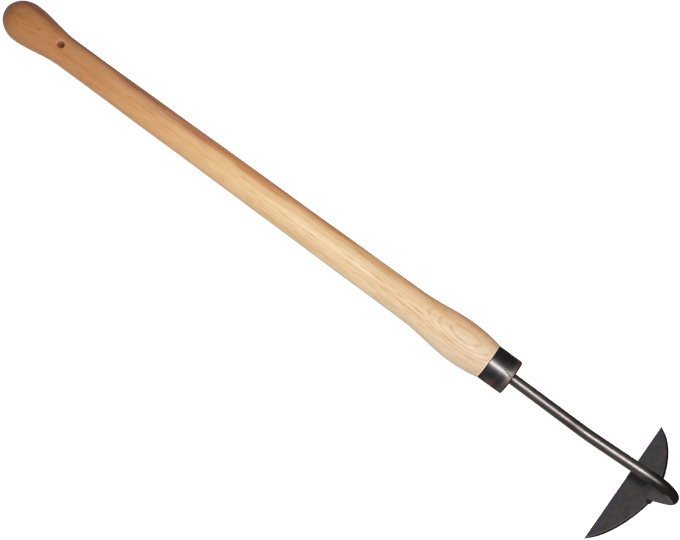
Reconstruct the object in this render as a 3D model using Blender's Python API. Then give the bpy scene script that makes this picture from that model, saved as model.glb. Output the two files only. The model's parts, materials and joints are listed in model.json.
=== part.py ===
"""Hand hoe: a turned ash handle, a steel ferrule and a half-moon blade on a hooked neck.

The tool is drawn in its own frame, in metres. +X runs along the handle from the
knob towards the blade, Y is across, and +Z is the side that the neck rises to.
X = 0 is the shoulder, where the bare wood ends and the ferrule starts. At the end
the tool is laid down the way it rests on a floor, on its knob and cutting edge.
"""

import math

import bmesh
import bpy
import numpy as np

# Fit
CLEARANCE = 0.0003            # left between pieces that touch

# Turned handle, measured from the knob end
HANDLE_LENGTH = 0.5255        # knob end to the shoulder
KNOB_DIAMETER = 0.0374
KNOB_CROWN = 0.0222           # length of the rounded end
GRIP_DIAMETER = 0.0273
GRIP_START = 0.0665           # where the knob has run down to the grip
GRIP_END = 0.0950             # where the shaft starts to thicken
SHAFT_DIAMETER = 0.0321       # at the foot of the swell

# Turned handle, measured back from the shoulder
SWELL_DIAMETER = 0.0407
SWELL_FOOT = 0.0830
SWELL_PEAK = 0.0300
SHOULDER_DIAMETER = 0.0348
SHOULDER_CHAMFER = 0.0003
TENON_CHAMFER = 0.0008

# Hanging hole through the handle
HANG_HOLE_DIAMETER = 0.0080
HANG_HOLE_FROM_END = 0.0590
HANG_HOLE_EASE = 0.0006       # radius that rounds each mouth

# Ferrule, a drawn steel cup
FERRULE_DIAMETER = 0.0340
FERRULE_LENGTH = 0.0255
FERRULE_WALL = 0.0015
FERRULE_FRONT = 0.0020        # thickness of the front face
FERRULE_CORNER = 0.0013       # outer corner radius at the front
FERRULE_LIP = 0.0004          # chamfer of the back rim

# Tang, the square taper inside the handle
TANG_LENGTH = 0.0950          # tip to the front face of the ferrule
TANG_ROOT = 0.0080            # across the flats at its thick end
TANG_TIP = 0.0042             # across the flats at its tip
TANG_SQUARENESS = 5.0         # superellipse exponent of its section
TANG_BLEND = 0.0070           # length over which round turns to square
TANG_TIP_ROOM = 0.0020        # empty socket beyond the tip

# Neck, a round bar
NECK_DIAMETER = 0.0104        # at the ferrule
HOOK_DIAMETER = 0.0112        # at the hook
NECK_STRAIGHT = 0.0840        # ferrule to the bend
NECK_SET = math.radians(2.0)  # dip of the first stretch
NECK_RISE = math.radians(11.0)  # rise of the second stretch
SET_RADIUS = 0.0800
BEND_RADIUS = 0.0600
HOOK_TOP_RADIUS = 0.0228      # the hook starts wide
HOOK_TOP_TURN = math.radians(90.0)
HOOK_HEEL_RADIUS = 0.0100     # and closes tighter, down to the blade's angle

# Palm, the flattened end of the neck that laps the blade
PALM_WIDTH = 0.0156
PALM_SPREAD = 0.0340          # length over which the round bar widens into it
PALM_THINNING = 0.0285        # length over which the bar is beaten thinner
PALM_THICKNESS = 0.0032       # at the back edge of the blade
PALM_TIP_THICKNESS = 0.0012
PALM_LAP = 0.0180             # how far it reaches onto the blade
PALM_ROUND = 0.0100           # length of its rounded end
PALM_CROWN = 2.6              # superellipse exponent of its showing side
PALM_FLATNESS = 4.5           # the same for the side that lies on the blade
PALM_RUN_IN = 0.0350          # radius of the slight bend down onto the blade

# Half-moon blade
BLADE_CHORD = 0.1263          # length of the straight cutting edge
BLADE_HEIGHT = 0.0502         # cutting edge to the back of the arch
BLADE_BULGE = 0.0097          # height of each side arc over its chord
BLADE_THICKNESS = 0.0020
BLADE_ANGLE = math.radians(60.0)
BLADE_REACH = 0.1423          # ferrule face to the cutting edge
BLADE_DROP = 0.0784           # cutting edge below the handle's axis
TIP_BLUNT = 0.0006            # height of the blunted points
ARCH_ROUND = 0.0120           # half width of the rounded top of the arch
EDGE_LAND = 0.0003            # thickness left at the cutting edge
GRIND_WIDTH = 0.0130          # ground bevel on the outer face
HONE_WIDTH = 0.0030           # narrow bevel on the face towards the handle
HONE_DEPTH = 0.0004

# Weld bead round the palm, built up thicker where it starts and stops at the blade's back
WELD_WIDTH = 0.0022
WELD_HEIGHT = 0.0010
WELD_END_WIDTH = 0.0044
WELD_END_HEIGHT = 0.0017
WELD_END_LENGTH = 0.0070      # length over which the bead swells to its end
WELD_END_ROUND = 0.0020       # length of the rounded stop itself
WELD_OVERHANG = 0.0012        # how far the stop stands over the blade's back edge

# Fillet weld behind, in the corner between the blade's back wall and the palm
BACK_WELD_LEG = 0.0034        # along the palm
BACK_WELD_DEPTH = 0.0019      # down the blade's back wall
BACK_WELD_PAST = 0.0034       # how far it runs past each side of the palm
BACK_WELD_FULLNESS = 2.2      # superellipse exponent of its bulging face

# Facets: sides of a section, and rings along a stretch
HANDLE_SIDES = 40
FERRULE_SIDES = 48
NECK_SIDES = 24
WELD_SIDES = 10
HOLE_SIDES = 24
CROWN_RINGS = 10
KNOB_RINGS = 11
SHAFT_RINGS = 6
SWELL_RINGS = 10
SHOULDER_RINGS = 7
TANG_RINGS = 5
BEND_RINGS = 6
HOOK_RINGS = 15               # on each of the hook's two arcs
PALM_RINGS = 8
LAP_RINGS = 4
ARCH_POINTS = 65
WELD_END_RINGS = 7
WELD_TURN_RINGS = 9
BACK_WELD_RINGS = 15
BACK_WELD_POINTS = 8
POLE_ANGLE = math.radians(3.0)    # the small flat left at the knob's end
TONGUE_ANGLE = math.radians(80.0)  # the small flat left at the palm's end
SMOOTH_ANGLE = math.radians(32.0)
ROUNDED_END = 0.03            # share of a rounded end's section that its flat cap keeps
ROUNDING = 1e-9               # slack for sums of lengths


def clear_scene():
    """Remove every object of the open scene."""
    for item in list(bpy.data.objects):
        bpy.data.objects.remove(item, do_unlink=True)


def make_material(name, colour, roughness, metallic):
    """Return a Principled material with one colour, roughness and metallic value."""
    material = bpy.data.materials.new(name)
    material.use_nodes = True
    shader = material.node_tree.nodes["Principled BSDF"]
    shader.inputs["Base Color"].default_value = (*colour, 1.0)
    shader.inputs["Roughness"].default_value = roughness
    shader.inputs["Metallic"].default_value = metallic
    return material


def ease(t):
    """Rise from 0 to 1 with level ends."""
    t = np.clip(t, 0.0, 1.0)
    return t * t * (3.0 - 2.0 * t)


def section(width, up, down, power_up, power_down, sides):
    """Points of a closed section: half widths along Y, half heights up and down.

    Each half is a superellipse. Power 2 is round, and higher powers are squarer.
    """
    angle = np.arange(sides) * 2.0 * math.pi / sides
    cosine, sine = np.cos(angle), np.sin(angle)
    power = np.where(sine >= 0.0, power_up, power_down)
    height = np.where(sine >= 0.0, up, down)
    across = np.sign(cosine) * width * np.abs(cosine) ** (2.0 / power)
    above = np.sign(sine) * height * np.abs(sine) ** (2.0 / power)
    return np.stack([across, above], axis=1)


def skin(name, rings, material, wrap=False):
    """Join rings of equal point count into one closed body and return its object.

    With wrap the last ring joins the first. Otherwise each end gets a flat cap.
    """
    shape = bmesh.new()
    loops = [[shape.verts.new(tuple(point)) for point in ring] for ring in rings]
    sides = len(loops[0])
    pairs = list(zip(loops, loops[1:]))
    if wrap:
        pairs.append((loops[-1], loops[0]))
    else:
        shape.faces.new(loops[0])
        shape.faces.new(loops[-1])
    for near, far in pairs:
        for i in range(sides):
            j = (i + 1) % sides
            shape.faces.new((near[i], near[j], far[j], far[i]))
    return finish(name, shape, material)


def finish(name, shape, material):
    """Turn a bmesh into a smooth shaded object with its faces pointing out."""
    bmesh.ops.recalc_face_normals(shape, faces=shape.faces)
    mesh = bpy.data.meshes.new(name)
    shape.to_mesh(mesh)
    shape.free()
    mesh.shade_smooth()
    mesh.set_sharp_from_angle(angle=SMOOTH_ANGLE)
    mesh.materials.append(material)
    piece = bpy.data.objects.new(name, mesh)
    bpy.context.scene.collection.objects.link(piece)
    return piece


def turned_ring(x, radius, sides):
    """A circle about the handle's axis."""
    across, above = section(radius, radius, radius, 2.0, 2.0, sides).T
    return np.stack([np.full(sides, x), across, above], axis=1)


# Path of the neck, in the XZ plane

def blade_axes():
    """Cutting edge point, direction up the blade, and normal towards the handle."""
    edge = np.array([FERRULE_LENGTH + BLADE_REACH, -BLADE_DROP])
    along = np.array([math.cos(BLADE_ANGLE), math.sin(BLADE_ANGLE)])
    normal = np.array([-math.sin(BLADE_ANGLE), math.cos(BLADE_ANGLE)])
    return edge, along, normal


def neck_corners():
    """Corner points of the neck's centre line, before its bends are rounded.

    The hook has two corners, so far apart that its two arcs meet with one direction.
    """
    edge, along, normal = blade_axes()
    tip = np.array([FERRULE_LENGTH - TANG_LENGTH, 0.0])
    face = np.array([FERRULE_LENGTH, 0.0])
    first = np.array([math.cos(NECK_SET), -math.sin(NECK_SET)])
    second = np.array([math.cos(NECK_RISE), math.sin(NECK_RISE)])
    bend = face + NECK_STRAIGHT * first
    lift = CLEARANCE + PALM_THICKNESS / 2.0
    back = edge + BLADE_HEIGHT * along + lift * normal
    tip_lift = CLEARANCE + PALM_TIP_THICKNESS / 2.0
    end = edge + (BLADE_HEIGHT - PALM_LAP) * along + tip_lift * normal
    heel_turn = NECK_RISE + math.pi - BLADE_ANGLE - HOOK_TOP_TURN
    between = (HOOK_TOP_RADIUS * math.tan(HOOK_TOP_TURN / 2.0)
               + HOOK_HEEL_RADIUS * math.tan(heel_turn / 2.0))
    heading = NECK_RISE - HOOK_TOP_TURN
    down = between * np.array([math.cos(heading), math.sin(heading)])
    reach, _ = np.linalg.solve(np.stack([second, -along], axis=1), back - bend - down)
    top = bend + reach * second
    return [tip, face, bend, top, top + down, back, end]


def rounded_path(corners, radii):
    """Straight runs and arcs through the corners, as a list of segments.

    A run is (start, direction, length, 0). An arc is (start, direction, length, turn
    per metre). Also returns the length along the path at which each corner's arc
    starts and ends.
    """
    segments, marks = [], []
    here, travelled = corners[0], 0.0
    for before, corner, after, radius in zip(corners, corners[1:], corners[2:], radii):
        into = (corner - before) / np.linalg.norm(corner - before)
        out = (after - corner) / np.linalg.norm(after - corner)
        turn = math.atan2(into[0] * out[1] - into[1] * out[0], float(into @ out))
        setback = radius * math.tan(abs(turn) / 2.0)
        run = float((corner - here) @ into) - setback
        segments.append((here, into, run, 0.0))
        start = here + run * into
        arc = radius * abs(turn)
        segments.append((start, into, arc, turn / arc))
        marks.append((travelled + run, travelled + run + arc))
        travelled += run + arc
        here = corner + setback * out
    last = corners[-1] - here
    length = float(np.linalg.norm(last))
    segments.append((here, last / length, length, 0.0))
    return segments, marks, travelled + length


def on_path(segments, s):
    """Point and direction at length s along the path."""
    for start, direction, length, curl in segments:
        if s <= length + ROUNDING:
            break
        s -= length
    if curl == 0.0:
        return start + s * direction, direction
    side = np.array([-direction[1], direction[0]])
    turn = s * curl
    point = start + (math.sin(turn) * direction + (1.0 - math.cos(turn)) * side) / curl
    return point, math.cos(turn) * direction + math.sin(turn) * side


def palm_half_width(depth):
    """Half width of the palm at a depth below the back of the blade."""
    rounding = np.clip((depth - (PALM_LAP - PALM_ROUND)) / PALM_ROUND, 0.0, 1.0)
    return PALM_WIDTH / 2.0 * np.sqrt(1.0 - rounding ** 2)


def neck_section(s, marks, total):
    """Half width, outer and inner half height, and the two powers at length s."""
    hook_start = marks[2][0]
    back = total - PALM_LAP
    round_from = TANG_LENGTH - FERRULE_FRONT - CLEARANCE
    square_to = round_from - TANG_BLEND
    bar = NECK_DIAMETER / 2.0
    bar += (HOOK_DIAMETER - NECK_DIAMETER) / 2.0 * np.clip(
        (s - TANG_LENGTH) / (hook_start - TANG_LENGTH), 0.0, 1.0)
    if s < round_from:
        flat = TANG_TIP / 2.0 + (TANG_ROOT - TANG_TIP) / 2.0 * min(s / square_to, 1.0)
        mix = ease((s - square_to) / TANG_BLEND)
        size = flat + (bar - flat) * mix
        power = TANG_SQUARENESS + (2.0 - TANG_SQUARENESS) * mix
        return size, size, size, power, power
    if s <= back:
        spread = ease((s - back) / PALM_SPREAD + 1.0)
        thinned = ease((s - back) / PALM_THINNING + 1.0)
        width = bar + (PALM_WIDTH / 2.0 - bar) * spread
        height = bar + (PALM_THICKNESS / 2.0 - bar) * thinned
        outer = 2.0 + (PALM_FLATNESS - 2.0) * thinned
        inner = 2.0 + (PALM_CROWN - 2.0) * thinned
        return width, height, height, outer, inner
    depth = s - back
    thin = PALM_THICKNESS + (PALM_TIP_THICKNESS - PALM_THICKNESS) * depth / PALM_LAP
    return palm_half_width(depth), thin / 2.0, thin / 2.0, PALM_FLATNESS, PALM_CROWN


def neck_stations(marks, total):
    """Lengths at which the neck gets a ring, closer where it bends or changes."""
    round_from = TANG_LENGTH - FERRULE_FRONT - CLEARANCE
    square_to = round_from - TANG_BLEND
    back = total - PALM_LAP
    round_angle = np.linspace(0.0, TONGUE_ANGLE, PALM_RINGS)
    tongue = back + PALM_LAP - PALM_ROUND + PALM_ROUND * np.sin(round_angle)
    return np.concatenate([
        np.linspace(0.0, square_to, TANG_RINGS),
        np.linspace(square_to, round_from, TANG_RINGS)[1:],
        marks[0],
        np.linspace(*marks[1], BEND_RINGS),
        np.linspace(*marks[2], HOOK_RINGS),
        np.linspace(*marks[3], HOOK_RINGS)[1:],
        np.linspace(marks[3][1], back, PALM_RINGS)[1:],
        np.linspace(back, tongue[0], LAP_RINGS)[1:],
        tongue[1:]])


def neck_path():
    """Path segments, marks and total length of the neck with its tang and palm."""
    radii = (SET_RADIUS, BEND_RADIUS, HOOK_TOP_RADIUS, HOOK_HEEL_RADIUS, PALM_RUN_IN)
    return rounded_path(neck_corners(), radii)


def make_swan_neck(material):
    """The forged bar: square tang, round neck, hook, and palm flattened to a tongue."""
    segments, marks, total = neck_path()
    rings = []
    for s in neck_stations(marks, total):
        point, direction = on_path(segments, s)
        across, above = section(*neck_section(s, marks, total), NECK_SIDES).T
        x = point[0] - direction[1] * above
        z = point[1] + direction[0] * above
        rings.append(np.stack([x, across, z], axis=1))
    return skin("swan_neck", rings, material)


# Handle

def handle_radius(x):
    """Radius of the turned surface at a distance x from the knob end."""
    knob, grip = KNOB_DIAMETER / 2.0, GRIP_DIAMETER / 2.0
    shaft, swell = SHAFT_DIAMETER / 2.0, SWELL_DIAMETER / 2.0
    shoulder = SHOULDER_DIAMETER / 2.0
    foot = HANDLE_LENGTH - SWELL_FOOT
    peak = HANDLE_LENGTH - SWELL_PEAK
    if x < KNOB_CROWN:
        return knob * math.sqrt(max(0.0, 1.0 - (1.0 - x / KNOB_CROWN) ** 2))
    if x < GRIP_START:
        return knob + (grip - knob) * ease((x - KNOB_CROWN) / (GRIP_START - KNOB_CROWN))
    if x < foot:
        return grip + (shaft - grip) * max(0.0, x - GRIP_END) / (foot - GRIP_END)
    if x < peak:
        return shaft + (swell - shaft) * ease((x - foot) / (peak - foot))
    return swell - (swell - shoulder) * ((x - peak) / SWELL_PEAK) ** 2


def handle_stations():
    """Distances from the knob end at which the handle gets a ring."""
    foot = HANDLE_LENGTH - SWELL_FOOT
    peak = HANDLE_LENGTH - SWELL_PEAK
    crown_angle = np.linspace(POLE_ANGLE, math.pi / 2.0, CROWN_RINGS)
    return np.concatenate([
        KNOB_CROWN * (1.0 - np.cos(crown_angle)),
        np.linspace(KNOB_CROWN, GRIP_START, KNOB_RINGS)[1:],
        [GRIP_END],
        np.linspace(GRIP_END, foot, SHAFT_RINGS)[1:],
        np.linspace(foot, peak, SWELL_RINGS)[1:],
        np.linspace(peak, HANDLE_LENGTH - SHOULDER_CHAMFER, SHOULDER_RINGS)[1:]])


def tenon_radius():
    """Radius of the tenon that fills the ferrule."""
    return FERRULE_DIAMETER / 2.0 - FERRULE_WALL - CLEARANCE


def socket_rings(front):
    """Rings of the tapered socket, from its mouth to its blind end, round the tang."""
    _, marks, total = neck_path()
    tip = FERRULE_LENGTH - TANG_LENGTH
    bottom = tip - TANG_TIP_ROOM
    square_to = front - TANG_BLEND
    places = np.concatenate([
        np.linspace(front, square_to, TANG_RINGS), [(square_to + tip) / 2.0, tip, bottom]])
    rings = []
    for x in places:
        width, up, down, high, low = neck_section(max(x - tip, 0.0), marks, total)
        across, above = section(
            width + CLEARANCE, up + CLEARANCE, down + CLEARANCE, high, low, HANDLE_SIDES).T
        rings.append(np.stack([np.full(HANDLE_SIDES, x), across, above], axis=1))
    return rings


def make_handle(material):
    """Turned ash handle with its tenon, the tang's socket and the hanging hole."""
    rings = []
    for x in handle_stations():
        rings.append(turned_ring(x - HANDLE_LENGTH, handle_radius(x), HANDLE_SIDES))
    tenon = tenon_radius()
    front = FERRULE_LENGTH - FERRULE_FRONT - CLEARANCE
    shoulder = SHOULDER_DIAMETER / 2.0 - SHOULDER_CHAMFER
    for x, radius in ((0.0, shoulder), (0.0, tenon), (front - TENON_CHAMFER, tenon),
                      (front, tenon - TENON_CHAMFER)):
        rings.append(turned_ring(x, radius, HANDLE_SIDES))
    rings += socket_rings(front)
    handle = skin("handle", rings, material)
    cut = handle.modifiers.new("hanging_hole", "BOOLEAN")
    cut.operation = "DIFFERENCE"
    cut.solver = "EXACT"
    cut.object = make_hole_cutter()
    return handle


def make_hole_cutter():
    """Guide body for the hanging hole: a bore along Z whose two mouths flare."""
    x = HANG_HOLE_FROM_END - HANDLE_LENGTH
    bore = HANG_HOLE_DIAMETER / 2.0
    surface = handle_radius(HANG_HOLE_FROM_END)
    swing = np.linspace(0.0, math.radians(72.0), 5)
    heights = surface - HANG_HOLE_EASE * (1.0 - np.sin(swing))
    widths = bore + HANG_HOLE_EASE * (1.0 - np.cos(swing))
    heights = np.append(heights, surface + HANG_HOLE_EASE)
    widths = np.append(widths, bore + 2.0 * HANG_HOLE_EASE)
    rings = []
    for height, radius in zip(np.append(-heights[::-1], heights), np.append(widths[::-1], widths)):
        across, along = section(radius, radius, radius, 2.0, 2.0, HOLE_SIDES).T
        rings.append(np.stack([x + across, along, np.full(HOLE_SIDES, height)], axis=1))
    cutter = skin("hanging_hole_guide", rings, make_material("guide", (0.5, 0.5, 0.5), 0.5, 0.0))
    cutter.hide_render = True
    cutter.display_type = "WIRE"
    return cutter


# Ferrule

def make_ferrule(material):
    """Drawn steel cup over the tenon, with a hole in its front for the neck."""
    outer = FERRULE_DIAMETER / 2.0
    inner = outer - FERRULE_WALL
    hole = NECK_DIAMETER / 2.0 + CLEARANCE
    rim = CLEARANCE
    floor = FERRULE_LENGTH - FERRULE_FRONT
    profile = [(rim + FERRULE_LIP, inner), (rim, inner + FERRULE_LIP),
               (rim, outer - FERRULE_LIP), (rim + FERRULE_LIP, outer)]
    for angle in np.linspace(0.0, math.pi / 2.0, 6):
        profile.append((FERRULE_LENGTH - FERRULE_CORNER * (1.0 - math.sin(angle)),
                        outer - FERRULE_CORNER * (1.0 - math.cos(angle))))
    profile += [(FERRULE_LENGTH, hole + FERRULE_LIP), (FERRULE_LENGTH - FERRULE_LIP, hole),
                (floor, hole), (floor, inner)]
    rings = [turned_ring(x, radius, FERRULE_SIDES) for x, radius in profile]
    return skin("ferrule", rings, material, wrap=True)


# Blade, in its own frame: X up the blade from the cutting edge, Y across, Z the normal

def arch_height(y):
    """Height of the half-moon's curved back over the cutting edge at a place y.

    Each side is one arc from the point of the blade to the middle, bulging out by
    BLADE_BULGE. The two arcs meet under a small parabola that rounds the top.
    """
    half = BLADE_CHORD / 2.0
    chord = math.hypot(half, BLADE_HEIGHT)
    radius = (chord * chord / 4.0 + BLADE_BULGE ** 2) / (2.0 * BLADE_BULGE)
    inward = np.array([BLADE_HEIGHT, -half]) / chord
    middle = np.array([half, BLADE_HEIGHT]) / 2.0
    centre = middle - np.array([inward[0], -inward[1]]) * (radius - BLADE_BULGE)
    reach = np.maximum(np.abs(y), ARCH_ROUND)
    height = centre[1] + np.sqrt(radius ** 2 - (reach - centre[0]) ** 2)
    slope = (ARCH_ROUND - centre[0]) / math.sqrt(radius ** 2 - (ARCH_ROUND - centre[0]) ** 2)
    near = np.minimum(np.abs(y), ARCH_ROUND)
    return height + slope * (ARCH_ROUND ** 2 - near ** 2) / (2.0 * ARCH_ROUND)


def make_blade(material):
    """Half-moon plate with a ground bevel outside and a narrow honed one inside."""
    half = BLADE_CHORD / 2.0
    places = half * np.sin(np.linspace(-math.pi / 2.0, math.pi / 2.0, ARCH_POINTS))
    heights = np.maximum(arch_height(places), TIP_BLUNT)
    outline = list(zip(heights, places)) + [(0.0, half), (0.0, -half)]
    shape = bmesh.new()
    ring = [shape.verts.new((x, y, 0.0)) for x, y in outline]
    face = shape.faces.new(ring)
    grown = bmesh.ops.extrude_face_region(shape, geom=[face])
    lower = [item for item in grown["geom"] if isinstance(item, bmesh.types.BMVert)]
    bmesh.ops.translate(shape, verts=lower, vec=(0.0, 0.0, -BLADE_THICKNESS))
    bmesh.ops.recalc_face_normals(shape, faces=shape.faces)
    outer_rise = BLADE_THICKNESS - HONE_DEPTH - EDGE_LAND
    grind(shape, (GRIND_WIDTH, 0.0, -BLADE_THICKNESS), (-outer_rise, 0.0, -GRIND_WIDTH))
    grind(shape, (HONE_WIDTH, 0.0, 0.0), (-HONE_DEPTH, 0.0, HONE_WIDTH))
    blade = finish("blade", shape, material)
    place_on_blade(blade)
    return blade


def grind(shape, point, normal):
    """Cut away what lies beyond a plane and close the cut with one flat face."""
    everything = list(shape.verts) + list(shape.edges) + list(shape.faces)
    cut = bmesh.ops.bisect_plane(
        shape, geom=everything, dist=1e-7, plane_co=point, plane_no=normal, clear_outer=True)
    rim = [item for item in cut["geom_cut"] if isinstance(item, bmesh.types.BMEdge)]
    bmesh.ops.contextual_create(shape, geom=rim)


def place_on_blade(piece):
    """Put a piece drawn in the blade's frame where the blade is."""
    edge, _, _ = blade_axes()
    piece.location = (edge[0], 0.0, edge[1])
    piece.rotation_euler = (0.0, -BLADE_ANGLE, 0.0)


# Weld bead

def weld_route():
    """Palm outline that the bead follows, its outward normals, and the way to the nearer end.

    It starts over the blade's back edge, runs down one side of the palm, round its tip
    and back up the other side.
    """
    half = PALM_WIDTH / 2.0
    straight = PALM_LAP - PALM_ROUND
    middle = half + CLEARANCE + WELD_END_WIDTH / 2.0
    top = BLADE_HEIGHT - float(arch_height(middle)) - WELD_OVERHANG
    stop = np.linspace(0.0, math.pi / 2.0, WELD_END_RINGS)
    depth = np.concatenate([
        top + WELD_END_ROUND * (1.0 - np.cos(stop)),
        np.linspace(top + WELD_END_ROUND, straight, LAP_RINGS)[1:]])
    width = np.full(len(depth), half)
    turn = np.linspace(0.0, math.pi / 2.0, WELD_TURN_RINGS)[1:]
    depth = np.concatenate([depth, straight + PALM_ROUND * np.sin(turn)])
    width = np.concatenate([width, half * np.cos(turn)])
    depth = np.concatenate([depth, depth[-2::-1]])
    width = np.concatenate([width, -width[-2::-1]])
    route = np.stack([BLADE_HEIGHT - depth, width], axis=1)
    run = np.gradient(route, axis=0)
    run /= np.linalg.norm(run, axis=1)[:, None]
    outward = np.stack([run[:, 1], -run[:, 0]], axis=1)
    steps = np.linalg.norm(np.diff(route, axis=0), axis=1)
    along = np.concatenate([[0.0], np.cumsum(steps)])
    return route, outward, np.minimum(along, along[-1] - along)


def make_weld(material):
    """Low bead of weld along the palm's edge, flat underneath where it lies on the blade."""
    route, outward, to_end = weld_route()
    swelling = 1.0 - ease(to_end / WELD_END_LENGTH)
    rounded = 1.0 - np.minimum(to_end / WELD_END_ROUND, 1.0)
    closing = np.sqrt(1.0 - (1.0 - ROUNDED_END) * rounded ** 2)
    half = (WELD_WIDTH + (WELD_END_WIDTH - WELD_WIDTH) * swelling) / 2.0
    height = (WELD_HEIGHT + (WELD_END_HEIGHT - WELD_HEIGHT) * swelling) * closing
    rings = []
    for (x, y), side, wide, high, close in zip(route, outward, half, height, closing):
        across, above = section(wide * close, high, 0.0, 2.0, 2.0, WELD_SIDES).T
        across = across + CLEARANCE + wide
        rings.append(np.stack(
            [x + side[0] * across, y + side[1] * across, CLEARANCE + above], axis=1))
    weld = skin("weld", rings, material)
    place_on_blade(weld)
    return weld


def make_back_weld(material):
    """Fillet of weld along the blade's back wall, under the palm and a little past its sides.

    Its section has one leg on the wall, one that follows the palm's underside, and a
    bulging face. Towards each end it dwindles like the end of an ellipse.
    """
    _, marks, total = neck_path()
    back = total - PALM_LAP
    reach = PALM_WIDTH / 2.0 + BACK_WELD_PAST
    angle = np.linspace(0.0, math.pi / 2.0, BACK_WELD_POINTS)
    out = np.append(np.cos(angle) ** (2.0 / BACK_WELD_FULLNESS), 0.0)
    down = np.append(np.sin(angle) ** (2.0 / BACK_WELD_FULLNESS), 0.0)
    rings = []
    for swing in np.linspace(-TONGUE_ANGLE, TONGUE_ANGLE, BACK_WELD_RINGS):
        y = reach * math.sin(swing) / math.sin(TONGUE_ANGLE)
        from_wall = BACK_WELD_LEG * math.cos(swing) * out
        palm = [neck_section(back - CLEARANCE - s, marks, total)[1] for s in from_wall]
        height = PALM_THICKNESS / 2.0 - np.array(palm) - BACK_WELD_DEPTH * math.cos(swing) * down
        wall = float(arch_height(y)) + CLEARANCE
        rings.append(np.stack([wall + from_wall, np.full(len(out), y), height], axis=1))
    weld = skin("back_weld", rings, material)
    place_on_blade(weld)
    return weld


# Assembly

def lowest(points, tilt):
    """Lowest height of points, in X and Z, when the tool's front end is raised by tilt."""
    return float((points[:, 0] * math.sin(tilt) + points[:, 2] * math.cos(tilt)).min())


def tool_points(pieces):
    """Corner points of the pieces in the tool's frame, as one array for each piece."""
    bpy.context.view_layer.update()
    return [np.array([piece.matrix_basis @ vertex.co for vertex in piece.data.vertices])
            for piece in pieces]


def lay_down(frame, handle, blade, pieces):
    """Tilt and place the frame so that knob and cutting edge rest on Z = 0.

    The tilt is found by halving a range: below it the blade hangs lower, above it
    the knob does. The middle of the tool's outline, seen from above, comes to X = Y = 0.
    """
    knob, edge = tool_points([handle, blade])
    low, high = 0.0, math.radians(45.0)
    for _ in range(50):
        tilt = (low + high) / 2.0
        if lowest(edge, tilt) < lowest(knob, tilt):
            low = tilt
        else:
            high = tilt
    points = np.concatenate(tool_points(pieces))
    along = points[:, 0] * math.cos(tilt) - points[:, 2] * math.sin(tilt)
    height = lowest(points, tilt)
    frame.rotation_euler = (0.0, -tilt, 0.0)
    frame.location = (-(along.min() + along.max()) / 2.0, 0.0, -height)


def main():
    """Build the hoe and lay it down."""
    clear_scene()
    ash = make_material("lacquered_ash", (0.72, 0.47, 0.24), 0.28, 0.0)
    black_steel = make_material("blackened_steel", (0.10, 0.09, 0.09), 0.28, 1.0)
    bar_steel = make_material("forged_bar_steel", (0.20, 0.17, 0.15), 0.32, 1.0)
    blade_steel = make_material("blade_steel", (0.11, 0.11, 0.12), 0.45, 1.0)
    weld_steel = make_material("weld_steel", (0.14, 0.13, 0.12), 0.50, 1.0)
    handle = make_handle(ash)
    blade = make_blade(blade_steel)
    pieces = [handle, make_ferrule(black_steel), make_swan_neck(bar_steel), blade,
              make_weld(weld_steel), make_back_weld(weld_steel)]
    frame = bpy.data.objects.new("tool_frame", None)
    bpy.context.scene.collection.objects.link(frame)
    lay_down(frame, handle, blade, pieces)
    for piece in pieces + [bpy.data.objects["hanging_hole_guide"]]:
        piece.parent = frame
    bpy.context.view_layer.update()
    for piece in pieces:
        corners = np.array([piece.matrix_world @ vertex.co for vertex in piece.data.vertices])
        size = (corners.max(axis=0) - corners.min(axis=0)) * 1000.0
        print(f"{piece.name}: {size[0]:.1f} x {size[1]:.1f} x {size[2]:.1f} mm,"
              f" tilt {math.degrees(-frame.rotation_euler[1]):.2f} degrees")


main()
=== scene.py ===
# %% [markdown]
# # A hand hoe, from bare solids to a finished picture
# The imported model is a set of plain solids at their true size. This lesson loads them as a
# fixed frame and then gives each one its fine surface and its finish: turned ash under
# lacquer, blackened steel, a forged bar and a bevelled blade. Nothing here moves or resizes
# the solids. Each new surface stands where its solid stands.

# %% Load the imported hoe
import json
import math

import bmesh
import bpy
import numpy as np
from mathutils import Matrix


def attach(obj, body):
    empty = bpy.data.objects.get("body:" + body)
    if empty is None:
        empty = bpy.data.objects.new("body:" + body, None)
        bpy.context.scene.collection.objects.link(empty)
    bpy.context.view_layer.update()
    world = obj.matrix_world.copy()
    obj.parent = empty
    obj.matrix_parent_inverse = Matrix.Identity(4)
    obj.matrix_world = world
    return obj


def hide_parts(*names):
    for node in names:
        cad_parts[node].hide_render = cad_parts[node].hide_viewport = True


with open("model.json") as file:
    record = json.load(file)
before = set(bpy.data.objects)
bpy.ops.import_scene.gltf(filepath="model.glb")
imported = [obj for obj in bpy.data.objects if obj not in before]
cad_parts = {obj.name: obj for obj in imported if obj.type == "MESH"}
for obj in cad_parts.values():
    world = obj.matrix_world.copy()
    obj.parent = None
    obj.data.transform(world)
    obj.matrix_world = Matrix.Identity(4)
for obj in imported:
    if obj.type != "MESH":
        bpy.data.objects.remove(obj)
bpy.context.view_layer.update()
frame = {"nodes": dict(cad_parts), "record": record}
print("loaded", sorted(frame["nodes"]))

# %% [markdown]
# ## One frame for the tool
# A toolmaker measures a hoe along its handle, not along the floor. So every shape below is
# worked out in the tool's own frame: X runs from the shoulder, where bare wood meets steel,
# towards the blade, and Z is the side that the neck rises to. The record's ferrule mount
# says where that frame lies in the world, because the hoe rests on its knob and its edge.

# %% The tool's frame, read from the record
FERRULE_LENGTH = 0.0255
MOUNT_HEIGHT = 0.0105         # the mount's point on the ferrule's front ring

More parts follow.
